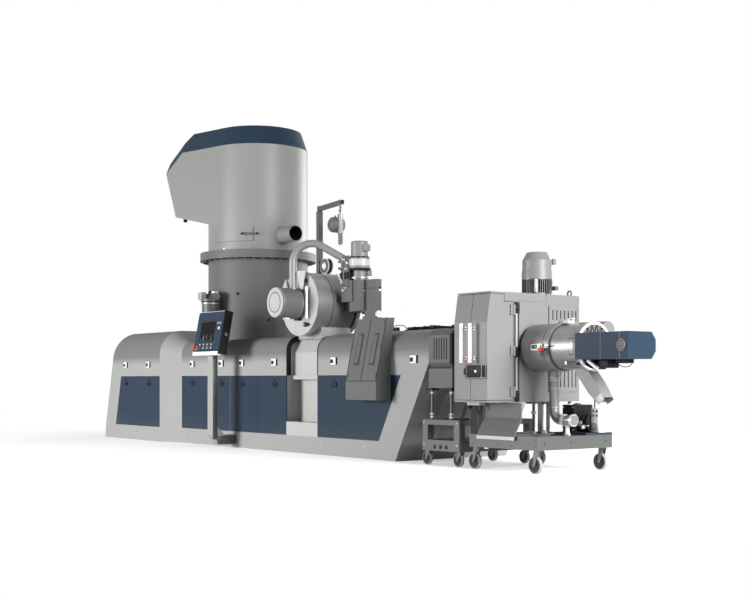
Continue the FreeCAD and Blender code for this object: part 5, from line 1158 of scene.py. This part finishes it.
class StudioSizes(PropertyGroup):
    eye: FloatVectorProperty(name="Eye", description="Where the camera stands", subtype="TRANSLATION",
                             unit="LENGTH", default=(16.031, -9.905, 1.0))
    heading: FloatProperty(name="Heading", description="Turn of the camera about the vertical",
                           subtype="ANGLE", default=math.radians(52.686))
    ambient: FloatProperty(name="Ambient", description="Light from all round", default=0.27)


class LINE_OT_finishes(Operator):
    """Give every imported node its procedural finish"""
    bl_idname = "line.finishes"
    bl_label = "Finishes"

    def execute(self, context):
        make_finishes(context.scene.line_sizes)
        chosen = {row["node"]: row["material_slot"] for row in frame["record"]["subparts"]}
        chosen.update({node: finish for finish, nodes in NODE_FINISHES.items() for node in nodes})
        for name, thing in frame["nodes"].items():
            if name.startswith("caster_fork"):
                chosen[name] = "fork_grey"
            for index in range(len(thing.material_slots)):
                thing.material_slots[index].material = FINISHES[chosen[name]]
        return {"FINISHED"}


class LINE_OT_hoods(Operator):
    """Add the hood latches, panel locks and seals"""
    bl_idname = "line.hoods"
    bl_label = "Hood latches and seals"

    def execute(self, context):
        make_latches()
        make_seals()
        return {"FINISHED"}


class LINE_OT_drum(Operator):
    """Add the bolts, hatch and plugs of the drum, and the fittings of its side unit"""
    bl_idname = "line.drum"
    bl_label = "Drum fittings"

    def execute(self, context):
        make_drum_fittings()
        make_unit_fittings()
        return {"FINISHED"}


class LINE_OT_panel(Operator):
    """Add the operator panel's screen, keys and stop button"""
    bl_idname = "line.panel"
    bl_label = "Operator panel face"

    def execute(self, context):
        make_panel_face(context.scene.line_sizes)
        return {"FINISHED"}


class LINE_OT_filter(Operator):
    """Add the melt filter's disc, flange face, knobs, valves and bands"""
    bl_idname = "line.filter"
    bl_label = "Filter fittings"

    def execute(self, context):
        make_filter_fittings()
        make_melt_fittings()
        return {"FINISHED"}


class LINE_OT_jib(Operator):
    """Add the jib's shackle, coil, balancer cover and reel"""
    bl_idname = "line.jib"
    bl_label = "Jib fittings"

    def execute(self, context):
        make_jib_fittings()
        return {"FINISHED"}


class LINE_OT_chute(Operator):
    """Add the fittings of the barrel lid, discharge chute and guard box"""
    bl_idname = "line.chute"
    bl_label = "Lid, chute and guard fittings"

    def execute(self, context):
        make_lid_fittings()
        make_chute_fittings()
        make_guard_fittings()
        return {"FINISHED"}


class LINE_OT_cabinet(Operator):
    """Add the cabinet's handles, locks, hinge strip, vents, jacks and motor fins"""
    bl_idname = "line.cabinet"
    bl_label = "Cabinet fittings"

    def execute(self, context):
        make_cabinet_fittings()
        make_cabinet_motor_fittings()
        return {"FINISHED"}


class LINE_OT_head(Operator):
    """Add the rings, switch, rim and lead of the pelletizer head, and what lies below it"""
    bl_idname = "line.head"
    bl_label = "Pelletizer head fittings"

    def execute(self, context):
        make_head_fittings()
        make_outlet_fittings()
        return {"FINISHED"}


class LINE_OT_frames(Operator):
    """Add the casters' hubs and the bolts of plinth, cart and trolley"""
    bl_idname = "line.frames"
    bl_label = "Caster and frame fittings"

    def execute(self, context):
        make_caster_fittings()
        make_frame_bolts()
        return {"FINISHED"}


class LINE_OT_stage(Operator):
    """Set up the floor, the soft studio light and the camera"""
    bl_idname = "line.stage"
    bl_label = "Stage"

    def execute(self, context):
        sizes = context.scene.studio_sizes
        make_floor()
        make_world(sizes.ambient)
        make_lamp("key", (-2.0, -14.0, 2.2), (0.0, 0.0, 0.7), 5.0, 2450.0)
        make_lamp("side", (17.5, -0.5, 4.5), (4.0, 0.0, 1.2), 6.0, 3300.0)
        make_lamp("back", (-1.0, 13.0, 5.0), (1.0, 0.0, 1.0), 7.0, 1200.0)
        make_camera(sizes)
        context.scene.view_settings.view_transform = "Standard"
        return {"FINISHED"}


class LINE_PT_panel(Panel):
    """Lists the steps and the sizes"""
    bl_idname = "LINE_PT_panel"
    bl_label = "Pelletizing line"
    bl_space_type = "VIEW_3D"
    bl_region_type = "UI"
    bl_category = "Pelletizer"

    def draw(self, context):
        column = self.layout.column()
        for group in (context.scene.line_sizes, context.scene.studio_sizes):
            for name in group.__annotations__:
                column.prop(group, name)
        for step in STEPS:
            column.operator(step.bl_idname)


STEPS = (LINE_OT_finishes, LINE_OT_hoods, LINE_OT_drum, LINE_OT_panel, LINE_OT_filter, LINE_OT_jib,
         LINE_OT_chute, LINE_OT_cabinet, LINE_OT_head, LINE_OT_frames, LINE_OT_stage)
CLASSES = (LineSizes, StudioSizes) + STEPS + (LINE_PT_panel,)


def register():
    for item in CLASSES:
        bpy.utils.register_class(item)
    bpy.types.Scene.line_sizes = PointerProperty(type=LineSizes)
    bpy.types.Scene.studio_sizes = PointerProperty(type=StudioSizes)


def unregister():
    del bpy.types.Scene.studio_sizes
    del bpy.types.Scene.line_sizes
    for item in reversed(CLASSES):
        bpy.utils.unregister_class(item)


def main():
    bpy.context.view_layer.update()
    register()
    for step in STEPS:
        family, name = step.bl_idname.split(".")
        getattr(getattr(bpy.ops, family), name)()


if __name__ == "__main__":
    main()
